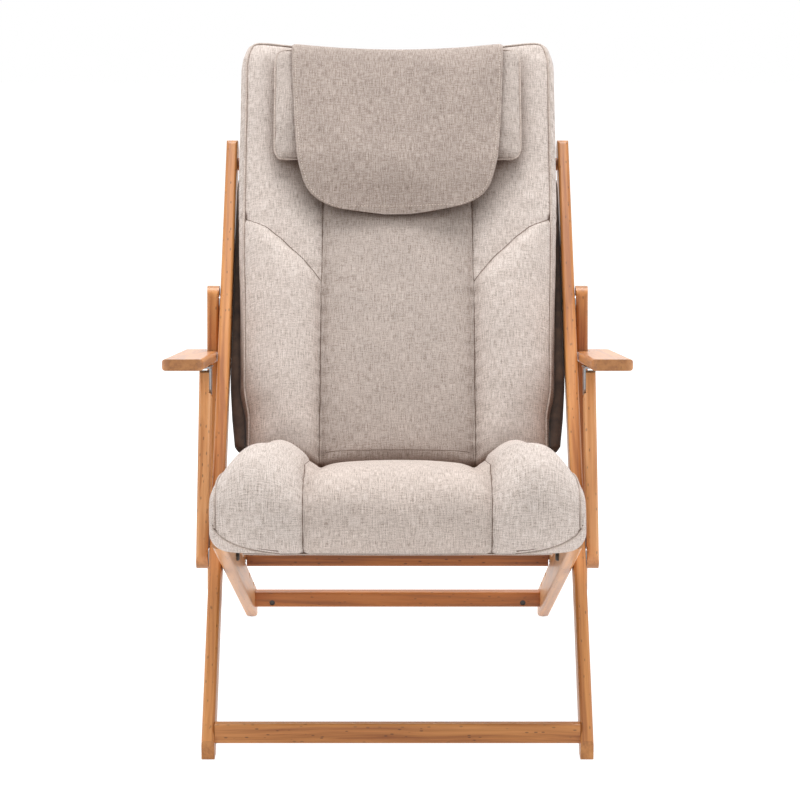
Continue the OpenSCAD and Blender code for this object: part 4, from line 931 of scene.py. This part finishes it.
for loft, body, node, fill, cloth in (
        (seat, "seat_pad", "seat_cushion", 0.7, fabric_seat),
        (back, "back_pad", "back_cushion", 0.65, fabric_back),
        (pillow, "headrest", "head_pillow", 0.75, fabric),
        (flap, "headrest", "head_flap", 0.3, fabric_flap)):
    loft.obj.data.materials.clear()
    loft.obj.data.materials.append(cloth)
    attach(loft.obj, body)
    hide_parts(node)
for pieces, slot in ((trims, "linen_fabric"), (linings, "lining_fabric")):
    for obj, body in pieces:
        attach(obj, body)

# ---------------------------------------------------------------- studio
floor_size = 14.0
corners = [(x * floor_size, y * floor_size, 0) for x, y in ((-1, -1), (1, -1), (1, 1), (-1, 1))]
floor = mesh_object("floor", corners, [(0, 1, 2, 3)], False)
floor_look = Look("floor", Roughness=0.9)
tint = floor_look.grain(floor_look.add("TexCoord").outputs["Object"], 3.0)
floor_look.put(floor_look.shader, {"Base Color": floor_look.ramp(tint, (0, grey(0.93)), (1, grey(0.95)))})
path = floor_look.add("LightPath").outputs
seen = floor_look.math("MAXIMUM", path["Is Camera Ray"],
                       floor_look.math("MAXIMUM", path["Is Glossy Ray"], path["Is Transmission Ray"]))
glow = floor_look.add("Emission", {"Color": grey(1.0), "Strength": 1.35})
share = floor_look.math("MULTIPLY", seen, 0.72)
blend = floor_look.add("MixShader", {0: share, 1: floor_look.shader.outputs[0], 2: glow.outputs[0]})
floor_look.tree.links.new(blend.outputs[0], floor_look.tree.nodes["Material Output"].inputs[0])
floor.data.materials.append(floor_look.mat)

world = bpy.data.worlds.new("studio")
world.use_nodes = True
tree = world.node_tree
plain = tree.nodes["Background"]
plain.inputs[0].default_value = (1.0, 0.99, 0.975, 1)
plain.inputs[1].default_value = 0.54
white = tree.nodes.new("ShaderNodeBackground")
white.inputs[0].default_value = grey(1.0)
rays = tree.nodes.new("ShaderNodeLightPath")
top_ray = tree.nodes.new("ShaderNodeMath")
glossy_ray = tree.nodes.new("ShaderNodeMath")
top_ray.operation = glossy_ray.operation = "MAXIMUM"
tree.links.new(rays.outputs["Is Camera Ray"], glossy_ray.inputs[0])
tree.links.new(rays.outputs["Is Glossy Ray"], glossy_ray.inputs[1])
tree.links.new(glossy_ray.outputs[0], top_ray.inputs[0])
tree.links.new(rays.outputs["Is Transmission Ray"], top_ray.inputs[1])
choose = tree.nodes.new("ShaderNodeMixShader")
tree.links.new(top_ray.outputs[0], choose.inputs[0])
tree.links.new(plain.outputs[0], choose.inputs[1])
tree.links.new(white.outputs[0], choose.inputs[2])
tree.links.new(choose.outputs[0], tree.nodes["World Output"].inputs[0])
bpy.context.scene.world = world
bpy.context.scene.view_settings.view_transform = "Standard"


def softbox(name, place, aim, size, power):
    lamp = bpy.data.lights.new(name, "AREA")
    lamp.shape, lamp.size, lamp.size_y, lamp.energy = "RECTANGLE", size[0], size[1], power
    obj = bpy.data.objects.new(name, lamp)
    obj.location = place
    obj.rotation_euler = (Vector(aim) - Vector(place)).to_track_quat("-Z", "Y").to_euler()
    bpy.context.collection.objects.link(obj)


softbox("key", (0, 0.9, 5.5), (0, 0, 0.4), (2.6, 2.4), 230)
softbox("left_fill", (-3.1, -1.3, 2.0), (0, 0, 0.5), (2.0, 2.0), 27)
softbox("right_fill", (3.1, -1.3, 2.0), (0, 0, 0.5), (2.0, 2.0), 27)
softbox("rear_rim", (0, 2.8, 2.6), (0, 0, 0.7), (2.4, 1.4), 14)

# The photograph's camera, as solved
camera = bpy.data.objects.new("camera", bpy.data.cameras.new("camera"))
camera.location = (0, -4.095707, 1.2978)
camera.rotation_euler = (math.radians(90 - 11.17), 0, 0)
camera.data.lens = 114.68
camera.data.shift_x = 0.003125
bpy.context.collection.objects.link(camera)
bpy.context.scene.camera = camera
